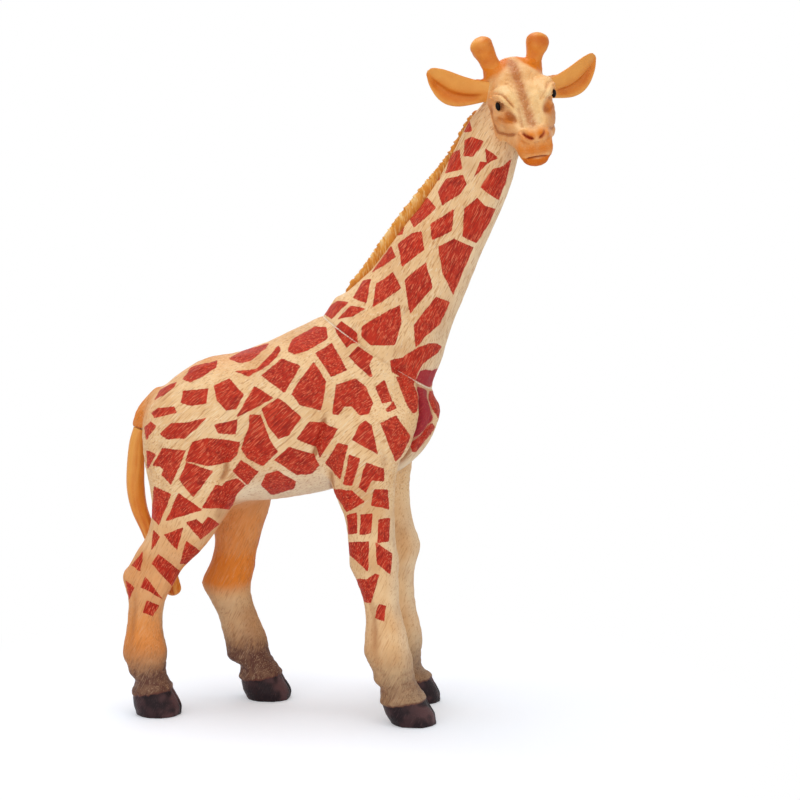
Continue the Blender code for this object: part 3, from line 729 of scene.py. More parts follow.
relief -= pastern_depth * bell(height - pastern_height, 0.9) * fade(-leg_fore, 0.4, 0.9) * on_leg
wrinkle_depth, wrinkle_width, wrinkle_heights = 0.13, 0.42, (10.6, 12.1, 14.4)
for wrinkle in wrinkle_heights:
    wave = height - wrinkle - 0.8 * leg_fore + 0.3 * leg_out
    relief -= wrinkle_depth * bell(wave, wrinkle_width) * fade(leg_fore, -0.1, 0.5) * on_leg
knee, knee_rise, tendon_depth, parting_rise = np.where(is_fore, 46, 39), 0.25, 0.3, 0.12
relief += knee_rise * bell(height - knee, 4) * fade(leg_fore, 0.2, 0.9) * on_leg
tendon = fade(leg_out, 0.2, 0.7) * bell(leg_fore + 0.45, 0.16) * bell(height - 27, 9)
relief -= tendon_depth * tendon * on_leg
parting = bell(leg_out, 0.055) * fade(np.abs(leg_fore), 0.75, 0.95)
relief += parting_rise * parting * on_leg * (1 - below_coronet)
print("relief after hooves, mm:", relief.min().round(2), relief.max().round(2))

# %% Hair in the surface
hair_lean = math.radians(42)
hair_way = {
    "trunk": (math.cos(hair_lean), 0, math.sin(hair_lean)), "neck": tuple(neck_axis), "leg": (0.45, 0, 0.89),
}
on_neck = fade(neck_off, -1, 4)
hair_share = {"neck": on_neck, "leg": on_leg, "trunk": (1 - on_neck) * (1 - on_leg)}
hair = np.zeros(len(skin))
for region, share in hair_share.items():
    way = hair_way[region]
    hair += share * (stretched(skin, way, 7, 0.95, 41) + 0.6 * stretched(skin, way, 4, 0.7, 42))
hair_depth, hair_change, lump_depth, seam_depth, seam_width = 0.105, 0.04, 0.16, 0.16, 0.5
relief += hair * (hair_depth + hair_change * noise(skin / 9, 43)) * (1 - below_coronet)
relief += lump_depth * noise(skin / 6.5, 44) * (1 - below_coronet)
tail_seam_reach, sole_edge = 3.6, 1.2
by_dock = np.linalg.norm(skin - dock, axis=1) < tail_seam_reach
seam_gap = np.where(by_dock, np.abs((skin - dock) @ tail_axis), np.abs(neck_off))
relief -= seam_depth * bell(seam_gap, seam_width)
lifted = skin + outward * (relief * fade(height, 0, sole_edge))[:, None]
lifted[:, 2] = np.maximum(lifted[:, 2], sole)
side_limit, side_ease = cad_high[1] / mm - 0.05, 1.4
over = np.abs(lifted[:, 1]) - (side_limit - side_ease)
print("points eased towards the sides' limit:", int((over > 0).sum()))
eased = side_limit - side_ease * np.exp(-np.maximum(over, 0) / side_ease)
lifted[:, 1] = np.where(over > 0, np.sign(lifted[:, 1]) * eased, lifted[:, 1])
move_to(hide, lifted)
print("relief, mm:", relief.min().round(2), "to", relief.max().round(2))

# %% [markdown]
# ## Where the print, the sprays and the painted light and shade go
# The brick red patches are printed from the side, so they follow the picture: each
# is a closed outline of corners, read from the photo. The far side wears the same
# print, a little off. What is kept for each point is its depth inside a patch, in mm,
# which the paint turns into a ragged edge. Sprays, painted shade and painted highlights are soft shares from
# 0 to 1.

# %% Patch outlines
patch_lines = """
438.5,192 446.5,179.5 463,175 466,184 461,192.5 442.5,205.5
481,188 493,169 504,166 511,159.6 504.5,184 498,200
464.6,209 477,198.4 484.5,206 495,209 489,223 476,243 463,236.6
438.6,247 454,239 473,248 453,294 442.5,272
431,224 454,209 451.6,230.5 432.5,240
409.5,218 427,198 435.6,207.6 425.6,218 414,227
398,244 412,233 421,232 424,249.6 402,266.5
405,279.5 425.6,263 432.5,287 410,313
372,272.6 381,259.6 391,246.6 395,256.5
376.6,284 392.7,272.6 401,288 373,307
353.7,298 363,281 371,280 366,303
323,313 337,301 348,302.5 331.5,318.5
338.4,319 350.6,305.5 364.4,308.6 353,316
362,327 387,311.6 399.6,305.5 401,321 395,345 370.5,345 362,336
414,325 436,297 450,302.5 439.4,324 427,334.6 415.7,347
334.8,327.6 342,322 356.7,332.7 357.8,342.3 351,343.4 346.5,347.4 336.8,333.2
349,356 357.8,346.4 372.6,356.6 368.5,365 372.6,376.5 369.5,376.5
464,156 465,140.7 471.6,137 483,140.7 478.6,149 473,156
445.6,173 451,154.7 459,149.8 461.7,168.7
485.6,149 498,157.5 487,163
480,161.7 487,163 474.4,176.5
464.5,132 469.5,121 471.6,131
433.7,181 440.7,170 439,180
397,235 404,226 402,234
390,360.7 402.4,357.8 418,347.5 430,343.7 438,344 441.8,346.6 438,352.4 423,363.6 418,372 \
413.5,383 400,376 392,371
395.8,376.5 413,381 415.7,401 414,411 410.7,413.4 406.5,406 400,386.4
430,391.5 434,391 437.5,396 440.5,404 440.5,412 437.5,418 434.5,413 432,404 430.5,398
412,447.5 416,442 423,434.5 432.5,423.5 434,427.5 428,437 421,446 416,452 412.5,452
381,423.7 396,416 407.4,435.4 395,461
376,387 384,380 392,401 382,403.5
386,410 393,401.7 396,408 387.6,412
336,385 355.4,379 366,387 372.7,403.5 369,414 360,415 352,406 344,406 338,415 333,414
316,353 331.5,343 346.8,370 331,376.5
292,394 300,380 314,362 326,381.5 321,410 299.5,404.5
297,439 309.5,422 323,423 338,429 328,445 320,456 316,447
275,460 289,447 313.6,454.7 319,465 312,473 297,474.6
352.6,440 360,425 366,421 371.5,426 377,454 364.6,447
325.6,463 338,443.7 348,446 339.4,479 331,469
343,484 349.7,455 359.5,458.6 352,485.5
359,487 366,463 383.6,469 384,481.5 371.5,480 366,492.4
332.5,489.6 352,490.7 364.6,502 347,512
374.4,489.6 387.6,490 388.7,509 371.5,505.6
347,516 356,513 357,533 349,534
361,515 372,514 371,533 360,534
379,520 390,518 389,541 378,543
348.7,542.6 368.5,541.3 367.8,571.3 348.7,554
376,543 391,553 390,574 377.4,564
356.4,579 367,579.5 375,574 378.7,575 370.4,603 363.4,601
379,604.4 385.7,605.7 384,621 375,618
182.7,379 191,367.5 217,360.6 215.6,367.5 202,376.6 189.6,382
154.4,399.6 160.5,390 176,382 174,387 163.6,395
181,402.7 183.5,391 208,389 206.4,403.4 192.7,405.7
152,412.6 159,408 174,406.5 177,412.6 155,418
160.5,434 171,424 189.6,422.6 206.4,418 197,428.7 185,438 168,439.4
214,386 229.4,379 244,395 235.5,409 226,410 217,399.6
215,425 237,420 235.5,434 219.4,433
237,417 254.6,386.6 273,398
229.4,359 243,350.6 268.4,343.7 264.6,349 251,360 240,363
235.5,372 257,369 278.4,346 280.7,350.6 269,364 249,376
261.5,375 282,359 300,366 284.5,392.7
288,350.6 292,340 315,326 326,327.7 327.4,338.4 307.5,350.6 295,354.4
261.5,409 278.4,398 301,417 289,435 278.4,438.6 269,427
250,415 260,415 269,438 277.6,451 263,466 248,458 241.6,448.6 249,427
186,461 192.7,442.5 208,438 223,439.4 240,442 237,455 229,461.6 208,465.4
153.6,465.4 162,448.6 186,451 171,484.5 162,474.6 164,470 160,466
179.6,479 186.5,463 212.6,471 193.4,497
233,471 241,460 258.5,471.5 247,484.5
261,485 266,474.6 277.6,471 296,482 293.7,489 270.7,494.5
202,507.5 215.6,485 222,487 226,482 237,478.4 244.7,485 237,493 231,509
151,516 154.4,487 171,494.5 159,525
166.6,520.5 179,493 202,510
186.5,522 196,519 202,524 208,516.7 219.4,524 200,539
152,549.6 153.6,531 159.7,537
164,535 182.7,528 177,549.6
180,563.6 186.5,540.6 201,552 186.5,563.6
152,563.6 158.5,554.7 179,570.6 171,585
132,565 142.5,551.5 140,571
126,581 134,588 129,598.7
141,587 145.7,577 161.7,598
142.5,612 147,601 158.5,605 152.7,616
145,427 150.6,422 156,426.4 146.7,439.4
146.7,450 156,454.7 148,468.5
"""
# Two more lie in the hollow of the chest: their red is painted darker and bluer there, as shade in the
# hollow
chest_hollow_lines = """
416.5,380 420,372 425.6,370 433,371 437,369 434.7,380 430,387
418.5,386.5 427,390.5 427.5,399 430.5,409 432.5,417 431.5,421.5 426,428.5 \
418,437 408,447 411.5,434 415,424 418,414
"""
chest_hollow_patches = [listed(line) for line in chest_hollow_lines.strip().splitlines()]
patches = [listed(line) for line in patch_lines.strip().splitlines()] + chest_hollow_patches
print("patches:", len(patches))

# %% Print, sprays, painted light and shade, and other marks
mm_per_pixel = 0.287
patch_growth = 0.14


def wander(size, reach, seed):
    """Shifts of up to reach pixels that change over a size in mm."""
    return stacked(noise(skin / size, seed), noise(skin / size, seed + 1)) * reach


far_share = fade(skin[:, 1], rump[1] + near_reach, rump[1] + 6)[:, None]
print_pixels = spot_pixels + wander(14, 5.5, 51) * far_share + wander(2.4, 0.55, 53)
depth_mm = patch_depth(print_pixels, patches) * mm_per_pixel + patch_growth
depth_mm = np.minimum(depth_mm, (facing - 0.03) * 12)
mark(hide, "patch", np.clip(depth_mm, -3, 3))
side_out = fade(-mirrored[:, 1], -0.2, 0.5)
dock_distance = np.linalg.norm(skin - dock - [2, 0, 5], axis=1)
inner_glow = (1 - side_out) * fade(height, 30, 37) * (1 - fade(height, 62, 74))
inner_glow *= 0.55 + 0.45 * bell(height - 38, 8)
hind_glow = 0.12 + side_out * (0.3 * bell(height - 27, 7) + 0.42 * bell(height - 40, 11))
hind_glow += (0.1 + 0.5 * side_out) * bell(height - 19, 7)
hind_glow = hind_glow * (1 - fade(height, 50, 72)) + inner_glow
fore_glow = (0.04 + 0.06 * bell(height - 27, 8)) * (1 - fade(height, 46, 66))
orange_share = np.where(is_fore, fore_glow, hind_glow)
by_stub = 1 - fade(np.linalg.norm(skin - dock - [0.5, 0, 2], axis=1), 3.6, 7)
rump_glow = 0.95 * np.maximum(bell(dock_distance, 7), by_stub)
rump_glow += 0.5 * fade(outward[:, 2], 0.55, 0.95) * fade(-skin[:, 0], 5, 50)
mark(hide, "orange", np.clip(orange_share + rump_glow, 0, 1))
ankle_share = on_leg * (1 - fade(height, 10, np.where(is_fore, 25, 24)))
ankle_share *= np.where(is_fore, 0.55, 0.68) + np.where(is_fore, 0.12, 0.32) * bell(height - coronet - 3, 5)
ankle_share += 0.34 * on_leg * (1 - is_fore) * (1 - side_out) * (1 - fade(height, 26, 38))
mark(hide, "ankle", ankle_share)
mark(hide, "hoof", on_leg * (1 - fade(height, coronet - 0.25 + 0.3 * strand, coronet + 0.2 + 0.3 * strand)))
# Painted shade: red and cream turn darker and bluer over the chest's hollow
chest_hollow_depth = patch_depth(print_pixels, chest_hollow_patches) * mm_per_pixel
mark(hide, "chest_hollow_shade", fade(chest_hollow_depth, -0.9, 0.3) * fade(facing, 0.05, 0.3))
# Painted highlight: lighter blotches towards the front of each hoof
mark(hide, "toe_highlight", fade(leg_fore, 0.1, 0.9) * on_leg)
# Painted light: paler undersides, and paler fronts of neck and forelegs
under_light = fade(-outward[:, 2], 0.25, 0.85) * (1 - on_leg)
front_light = 0.45 * fade(outward[:, 0], 0.3, 0.85) * np.maximum(on_neck, on_leg * is_fore)
mark(hide, "painted_light", np.maximum(under_light, front_light))
# Painted shade: darker where the relief sinks, in folds, creases and hair grooves
mark(hide, "recess_shade", np.clip(-(relief - hair * 0.07) / 0.45, 0, 1) + 0.25 * np.clip(-hair - 0.6, 0, 1))
mark(hide, "seam", np.minimum(seam_gap + 0.18 * bell(spot_pixels[:, 0] - 385, 26), 3))
mark(hide, "on_neck", on_neck)
mark(hide, "on_leg", on_leg)

# %% [markdown]
# ## Cut the hide into its mouldings
# The real body was cast in two halves and the neck by itself. The hide is cut the
# same way: once along the glue line of the neck and once down the middle plane. Each
# cut is closed with a face, so every piece is a solid skin of its own.

# %% Cuts
def cut_off(obj, name, place, normal):
    """Keep what lies on the side that normal points to, as a new closed piece."""
    bm = bmesh.new()
    bm.from_mesh(obj.data)
    parts = bm.verts[:] + bm.edges[:] + bm.faces[:]
    made = bmesh.ops.bisect_plane(
        bm, geom=parts, dist=1e-7, plane_co=place * mm, plane_no=normal, clear_inner=True)
    edges = [item for item in made["geom_cut"] if isinstance(item, bmesh.types.BMEdge)]
    bmesh.ops.triangle_fill(bm, edges=edges, use_beauty=True)
    bmesh.ops.recalc_face_normals(bm, faces=bm.faces)
    mesh = bpy.data.meshes.new(name)
    bm.to_mesh(mesh)
    bm.free()
    mesh.shade_smooth()
    piece = bpy.data.objects.new(name, mesh)
    bpy.context.scene.collection.objects.link(piece)
    return piece


neck_shell = cut_off(hide, "neck_shell", seam_centre, seam_normal)
trunk_shell = cut_off(hide, "trunk_shell", seam_centre, -seam_normal)
right_shell = cut_off(trunk_shell, "right_body_shell", rump, -across)
left_shell = cut_off(trunk_shell, "left_body_shell", rump, across)
bpy.data.objects.remove(trunk_shell)
bpy.data.objects.remove(hide)
for shell in (neck_shell, right_shell, left_shell):
    shell.data.calc_loop_triangles()
    print(shell.name, "triangles", len(shell.data.loop_triangles))

# %% [markdown]
# ## The head
# The giraffe looks round at the viewer. Its head was sculpted by itself and stuck
# on the neck: a lofted skull, with lumps for brows, cheeks, lips and the sockets
# of ears and horns. Lumps and skull are melted together, as a sculptor smooths clay.

# %% The head's frame
sides = {"right": -1, "left": 1}
heading = np.array([math.cos(head_turn), -math.sin(head_turn), 0])
level_left = np.array([math.sin(head_turn), math.cos(head_turn), 0])
level_up = heading * math.sin(head_nod) + [0, 0, math.cos(head_nod)]
head_forward = heading * math.cos(head_nod) - [0, 0, math.sin(head_nod)]
head_left = level_left * math.cos(head_tilt) + level_up * math.sin(head_tilt)
head_up = level_up * math.cos(head_tilt) - level_left * math.sin(head_tilt)
head_axes = np.array([head_forward, head_left, head_up])
head_scale = np.array([head_length, head_width / 2, head_depth])


def head_points(shares):
    """Points from shares of the head's length, half width and depth."""
    return head_origin + (np.asarray(shares, float) * head_scale) @ head_axes


def head_way(shares, side=1):
    """A unit direction from its forward, left and up parts."""
    return unit(np.array([shares[0], shares[1] * side, shares[2]]) @ head_axes)


def egg(centre, radii, axes=head_axes, sides_count=40, rows_count=24):
    """A closed egg: centre + first axis * cos(a), with ovals of the other two axes * sin(a)."""
    pole_gap = 0.04
    angles = np.linspace(pole_gap, math.pi - pole_gap, rows_count)
    middle = centre + np.outer(np.cos(angles), axes[0] * radii[0])
    wide = np.sin(angles)
    return tube(ovals(middle, axes[1], axes[2], radii[1] * wide, radii[2] * wide, sides_count))


# %% Skull and lumps
# Rows: place along the head, top, underside and half width, as shares
head_rows = listed("""
    -0.2,0.26,-0.25,0.58 -0.133,0.45,-0.425,0.84 0,0.56,-0.525,1 0.133,0.47,-0.55,1.02
    0.267,0.35,-0.55,1 0.373,0.22,-0.53,0.82 0.48,0.12,-0.48,0.64 0.55,0.06,-0.44,0.58
    0.595,-0.02,-0.41,0.55 0.63,-0.14,-0.36,0.42
""")
# Lumps: place as head shares, and radii forward, across and up, in mm
head_lumps = (
    ((0.17, -0.62, 0.30), (5.6, 2.8, 2.0)), ((0.17, 0.74, 0.34), (5.6, 2.8, 2.0)),
    ((0.26, -0.74, -0.10), (5.0, 2.4, 4.0)), ((0.27, 0.68, -0.12), (5.6, 2.1, 4.2)),
    ((0.55, 0, -0.015), (3.2, 4.3, 2.3)), ((0.58, 0, -0.19), (2.8, 4.9, 3.4)),
    ((0.56, 0, -0.335), (3.7, 3.7, 1.9)), ((-0.04, 0, 0.40), (7.5, 6.2, 3.6)),
)
horn_places = {"right": (-0.075, -0.64, 0.43), "left": (-0.075, 0.58, 0.38)}
horn_way_shares = (-0.36, 0.36, 0.90)
ear_places = {"right": (0, -0.96, 0.215), "left": (0, 1.08, 0.12)}
ear_way_shares = {"right": (-0.34, 0.90, 0.325), "left": (-0.45, 0.87, 0.217)}
eye_places = {"right": (0.25, -0.80, 0.215), "left": (0.25, 0.90, 0.28)}
horn_length, horn_radius = 10.2, 3.1
ear_length, ear_width, ear_thickness, ear_bow, ear_sag = 17, 9.4, 2.8, 1.4, 2.2
ear_hollow, ear_fold = 1.35, 0.45
eye_radii, eye_out = (0.62, 1.15, 0.72), 0.7
# Sockets: radii in mm, and how far along the horn or ear they lie
horn_socket = (4.3, 3.5, 2.7, 2.1), (-3, -0.5, 1.5, 4.0)
ear_socket, ear_socket_back, ear_socket_flatness = ((5.0, 4.0, 3.0, 1.9), (-4.5, -1.2, 1.4, 4.2)), 1.1, 0.5
jaw_taper = 0.6
skull_sides, skull_squareness = 96, 2.5


def skull_rings():
    """Squarish ovals from the crown to the muzzle; behind the muzzle the jaw narrows downwards."""
    rows = through(head_rows, 90)
    middle = (rows[:, 1] + rows[:, 2]) / 2
    centre = head_points(stacked(rows[:, 0], 0, middle))
    half_rise = head_depth * (rows[:, 1] - rows[:, 2]) / 2
    half_width = head_width / 2 * rows[:, 3]
    rings = ovals(centre, head_left, head_up, half_width, half_rise, skull_sides, skull_squareness)
    offset = rings - centre[:, None]
    down = -(offset @ head_up) / half_rise[:, None]
    narrowing = jaw_taper * fade(down, -0.1, 0.9) * (1 - 0.7 * fade(rows[:, 0:1], 0.42, 0.6))
    return rings - (offset @ head_left * narrowing)[..., None] * head_left


def flare(root, way, socket, side, flatness=1.0):
    """A socket like a trumpet's bell: ovals along way from the root, flattened to a share of their width."""
    radius, along = through(np.transpose(socket), 24).T
    side = unit(side)
    centre = root + np.outer(along, way)
    return tube(ovals(centre, side, np.cross(way, side), radius, radius * flatness, 40))


lumps = [tube(capped(skull_rings(), start_reach=3, end_reach=1.0))]
lumps += [egg(head_points(place), radii) for place, radii in head_lumps]
for hand, side in sides.items():
    horn_way = head_way(horn_way_shares, side)
    horn_root = head_points(horn_places[hand])
    lumps.append(flare(horn_root, horn_way, horn_socket, np.cross(horn_way, head_forward)))
    ear_way = head_way(ear_way_shares[hand], side)
    ear_root = head_points(ear_places[hand]) - head_forward * ear_socket_back
    lumps.append(flare(ear_root, ear_way, ear_socket, np.cross(ear_way, head_forward), ear_socket_flatness))
head = add_mesh("head_sculpt", lumps)
head_voxel = 0.42
fuse(head, head_voxel)
relax(head, 7)
relax(head, 2, plump=False)
refine(head)
print("head points", len(head.data.vertices))

# %% [markdown]
# ## Ears, horns and eyes
# An ear is a cupped leaf: an oval section is carried along the ear and its edges
# bend forwards. A ridge runs along the hollow. A horn is a tapered round bar
# with a knob, and the eye is a glossy black bead in its socket.

# %% Marks on rings
def ring_mark(obj, name, values, start_steps=1, end_steps=cap_steps):
    """A mark worked out on rings, from 0 to 1: a cap takes the values of the ring that it grows from."""
    grown = np.pad(np.clip(values, 0, 1), ((start_steps - 1, end_steps - 1), (0, 0)), mode='edge')
    mark(obj, name, np.concatenate([grown.ravel(), [grown[0].mean(), grown[-1].mean()]]))


# %% Ears
# Rows: place along the ear, width and thickness, as shares
ear_rows = listed("""
    -0.22,0.62,1 0,0.66,1 0.2,0.8,0.9 0.4,0.95,0.8 0.6,1,0.72 0.76,0.9,0.7 0.88,0.7,0.66 0.95,0.53,0.62
    0.995,0.36,0.56 1.025,0.18,0.5
""")
ear_steps, ear_sides = 110, 96


def ear_mesh(hand):
    """Ovals along a sagging line: edges bow forwards by c^2, a fold overhangs a hollow below it."""
    root, way = head_points(ear_places[hand]), head_way(ear_way_shares[hand], sides[hand])
    front = unit(head_forward - way * (head_forward @ way))
    wide = np.cross(way, front)
    wide = wide * np.sign(wide[2])
    rows = through(ear_rows, ear_steps)
    sag = ear_sag * np.sin(math.pi * np.clip(rows[:, 0], 0, 1))
    centre = root + np.outer(rows[:, 0] * ear_length, way) - np.outer(sag, wide)
    half_width, half_thickness = ear_width / 2 * rows[:, 1:2], ear_thickness / 2 * rows[:, 2:3]
    rings = ovals(centre, wide, front, half_width, half_thickness, ear_sides)
    c = (rings - centre[:, None]) @ wide / half_width
    s = (rings - centre[:, None]) @ front / half_thickness
    along = rows[:, 0:1]
    on_front = np.clip(s, 0, 1) * fade(along, 0.02, 0.2) * (1 - fade(along, 0.8, 0.99))
    above_fold = fade(c, -0.34, 0.12)
    hollow = (1 - above_fold) * (1 - fade(-c, 0.4, 0.95)) * on_front
    brow = above_fold * np.cos(math.pi / 2 * np.clip(c, 0, 1)) * on_front
    lift = ear_bow * rows[:, 1:2] * along * c ** 2 - ear_hollow * hollow + ear_fold * brow
    rings = rings + lift[..., None] * front
    ear = add_mesh("ear_leaf_" + hand, [tube(capped(rings, end_reach=0.3))])
    # Painted shade in the hollow and along the fold; painted highlight on the rims
    fold = bell(c + 0.2, 0.12) * on_front * (1 - 0.8 * fade(along, 0.3, 0.75))
    rim = 0.35 * (1 - fade(along, -0.05, 0.3)) + 0.6 * fade(-c, 0.6, 0.95)
    rim += 0.55 * fade(c, -0.1, 0.5) * fade(s, -0.2, 0.4)
    ring_mark(ear, "painted_shade", 0.3 * hollow + 0.6 * fold)
    ring_mark(ear, "painted_light", rim)
    return ear


ears = {hand: ear_mesh(hand) for hand in sides}
print("ear points", len(ears["right"].data.vertices))

# %% Horns and eyes
# Rows: place along the horn and radius, as shares
horn_rows = listed("-0.35,0.98 0,0.88 0.25,0.85 0.45,0.88 0.62,0.97 0.78,1.02")
horn_shaft = {"right": 1.0, "left": 0.87}
horn_steps, horn_sides, horn_tip_steps = 60, 64, 12


def horn_mesh(hand):
    """Round sections along the horn, with soft dents so that it looks hand made."""
    root, way = head_points(horn_places[hand]), head_way(horn_way_shares, sides[hand])
    rows = through(horn_rows, horn_steps)
    centre = root + np.outer(rows[:, 0] * horn_length, way)
    sideways = unit(np.cross(way, head_forward))
    shaft = horn_shaft[hand]
    radius = horn_radius * rows[:, 1] * (shaft + (1 - shaft) * fade(rows[:, 0], 0.4, 0.7))
    rings = ovals(centre, sideways, np.cross(way, sideways), radius, radius, horn_sides)
    bar = tube(capped(rings, end_reach=horn_radius * 0.8, steps=horn_tip_steps))
    horn = add_mesh("horn_bar_" + hand, [bar])
    points = positions(horn)
    dents = noise(points / 2.3, 5)
    along = (points - root) @ way / horn_length
    dent_depth, grain_depth = 0.14, 0.05
    pushed = dent_depth * dents + grain_depth * noise(points / 0.9, 6)
    move_to(horn, points + directions(horn) * pushed[:, None])
    # Painted light: shade below the knob's top and in the dents, highlight on the tip and the bumps
    tip = fade(along, 0.85, 1.0)
    mark(horn, "painted_shade", np.clip(0.5 * fade(along, 0.55, 0.75) - 0.5 * tip - 0.5 * dents + 0.1, 0, 1))
    mark(horn, "painted_light", np.clip(0.55 * tip + 0.3 * dents, 0, 1))
    return horn


horns = {hand: horn_mesh(hand) for hand in sides}
eyes = {}
for hand, side in sides.items():
    look = head_way((0.62, 0.75, 0.1), side)
    upright = head_way((-0.35, 0.1, 1), side)
    eye_axes = np.array([look, upright, np.cross(look, upright)])
    bead = egg(head_points(eye_places[hand]) + look * eye_out, eye_radii, eye_axes, 48, 32)
    eyes[hand] = add_mesh("eye_bead_" + hand, [bead])
print("horn points", len(horns["right"].data.vertices))

# %% [markdown]
# ## Mane and tail
# The mane is a comb of short stiff hair along the back of the neck. It is one
# strip whose crest goes up and down in tufts, and whose sides carry slanting
# strands. The tail is a thick cord of hair that hangs from the rump.

# %% Mane
mane_height, mane_tooth, mane_root, mane_thickness, mane_end_share = 3.5, 0.3, 1.6, 3, 0.2
mane_rings_count, mane_sides, mane_squareness = 760, 40, 2.6
tuft_length = 1.8


def mane_mesh():
    """Sections along the neck's back: the crest follows a power of sin, less a saw of tufts."""
    # The last rows of the neck lie under the head, and the comb ends before them
    rows = through(through(neck_shares[1:], 200)[:-14], mane_rings_count)
    table = outline(rows, neck_points, 1)
    low_line, front_line = table[:, 0:3], table[:, 3:6]
    rise_way = unit(low_line - front_line)
    walked = np.concatenate([[0], np.cumsum(np.linalg.norm(np.diff(low_line, axis=0), axis=1))])
    share = np.linspace(0, 1, mane_rings_count)

    def along_comb(size, seed):
        return noise(stacked(walked / size, 0, 0), seed)

    arch = np.sin(math.pi * np.clip(share, 0.002, 0.998)) ** (0.5 + 2.2 * fade(share, 0.45, 0.78))
    crest = mane_height * (mane_end_share + (1 - mane_end_share) * arch)
    uneven = 0.8 * along_comb(4, 11)
    saw = (walked / tuft_length + uneven) % 1
    crest = crest - mane_tooth * saw ** 1.3 + 0.18 * along_comb(0.45, 12)
    half_rise = (crest + mane_root) / 2
    centre = low_line + rise_way * (half_rise - mane_root)[:, None]
    half_width = np.full(mane_rings_count, mane_thickness / 2)
    rings = ovals(centre, across, rise_way, half_width, half_rise, mane_sides, mane_squareness)
    up_share = ((rings - low_line[:, None]) * rise_way[:, None]).sum(-1) / mane_height
    lean = walked[:, None] - up_share * 2.2
    hand_side = np.sign((rings - centre[:, None]) @ across)
    strands = noise(stacked(lean / 0.55, 0.35 * up_share, hand_side), 13)
    strands -= 0.3 * bell(((lean / tuft_length + uneven[:, None]) % 1) - 0.5, 0.12)
    push = 0.10 * strands * fade(up_share, 0.0, 0.5)
    rings = rings + (push * hand_side)[..., None] * across
    comb = add_mesh("mane_comb", [tube(capped(rings, start_reach=mane_root, end_reach=mane_root))])
    # Painted shade at the roots between strands, painted highlight on the tips
    roots, tips = 1 - fade(up_share, 0.0, 0.45), fade(up_share, 0.25, 0.8)
    ring_mark(comb, "painted_shade", 0.6 * roots - 0.4 * strands, start_steps=cap_steps)
    ring_mark(comb, "painted_light", tips * (0.3 + 1.1 * strands), start_steps=cap_steps)
    return comb


mane = mane_mesh()
print("mane points", len(mane.data.vertices))

# %% Tail
tail_length, tail_radius = 49, 1.9
tail_sides, tail_steps, tip_steps = 72, 221, 8
# Rows: way forward and up as shares of the tail's length, and radius as a share
tail_rows = listed("""
    -0.022,-0.09,1.2 -0.033,-0.235,1.36 -0.033,-0.357,1.36 -0.012,-0.48,1.2 0.036,-0.6,1.05
    0.09,-0.725,1 0.143,-0.826,1.15 0.178,-0.918,1.25 0.19,-0.96,1.1
""")


def tail_mesh():
    """Round sections square to the tail's line, grooved by noise drawn out along the tail."""
    rows = through(((0, 0, 1.08), *tail_rows), tail_steps)
    centre = dock + tail_length * stacked(rows[:, 0], 0, rows[:, 1])
    way = np.vstack([tail_axis[None], centre[:-2] - centre[2:], centre[-2:-1] - centre[-1:]])
    blend = 20
    on_axis = tail_axis * np.linalg.norm(way[blend // 2])
    way[:blend] += (on_axis - way[:blend]) * (1 - fade(np.arange(blend), 0, blend))[:, None]
    way = unit(way)
    rise = np.cross(way, across)
    radius = tail_radius * rows[:, 2]
    rings = ovals(centre, across, rise, radius, radius, tail_sides)
    share = np.linspace(0, 1, len(rows))[:, None]
    angle = np.linspace(0, math.tau, tail_sides, endpoint=False)[None]
    twist = angle + 1.2 * share
    places = stacked(np.cos(twist) * 3.4, np.sin(twist) * 3.4, share * 5)
    hair = noise(places, 21) + 0.5 * noise(places * [2.2, 2.2, 2], 22)
    depth = 0.07 + 0.33 * fade(share, 0.35, 0.8)
    swell = 1 + depth * hair * fade(share, 0.02, 0.12) / 2.4
    rings = centre[:, None] + (rings - centre[:, None]) * swell[..., None]
    hanging = add_mesh("tail_hair", [tube(capped(rings, end_reach=tail_radius * 1.1, steps=tip_steps))])
    # Painted shade in the grooves of hair; painted highlight on the ridges and down the top
    ring_mark(hanging, "painted_shade", -1.2 * hair * depth / 0.4, end_steps=tip_steps)
    top_light = 0.5 * (1 - fade(share, 0.08, 0.5)) + (1 - fade(share, 0.008, 0.016))
    ring_mark(hanging, "painted_light", 1.1 * hair * depth / 0.4 + 0.15 + top_light, end_steps=tip_steps)
    return hanging


tail = tail_mesh()
print("tail points", len(tail.data.vertices))

# %% [markdown]
# ## The face
# Brows, lids, cheeks, nostrils and lips are strokes too. They are drawn once, on the
# side of the face that is nearer in the photo, and a point of the other side takes
# the pixel of its own mirror point. So both halves match, but the far one is cut
# only half as deep, as it looks in the photo.

# %% Face strokes
head_skin, head_outward = positions(head), directions(head)
head_place = (head_skin - head_origin) @ head_axes.T
other_side = head_place[:, 1] > 0
turned = head_outward @ head_axes.T
eye_shift = (np.array(eye_places["left"]) - np.array(eye_places["right"]) * [1, -1, 1]) * head_scale
shift_share = other_side * fade(head_place[:, 2], -2, 3) * fade(head_place[:, 1], 0, 4)
mirror_place = head_place - np.outer(shift_share, eye_shift)
mirror_place[:, 1] = -np.abs(mirror_place[:, 1])
turned[:, 1] = np.where(other_side, -turned[:, 1], turned[:, 1])
face = Sculpt(to_pixels(head_origin + mirror_place @ head_axes), fade(turned @ head_axes @ back, -0.05, 0.2))

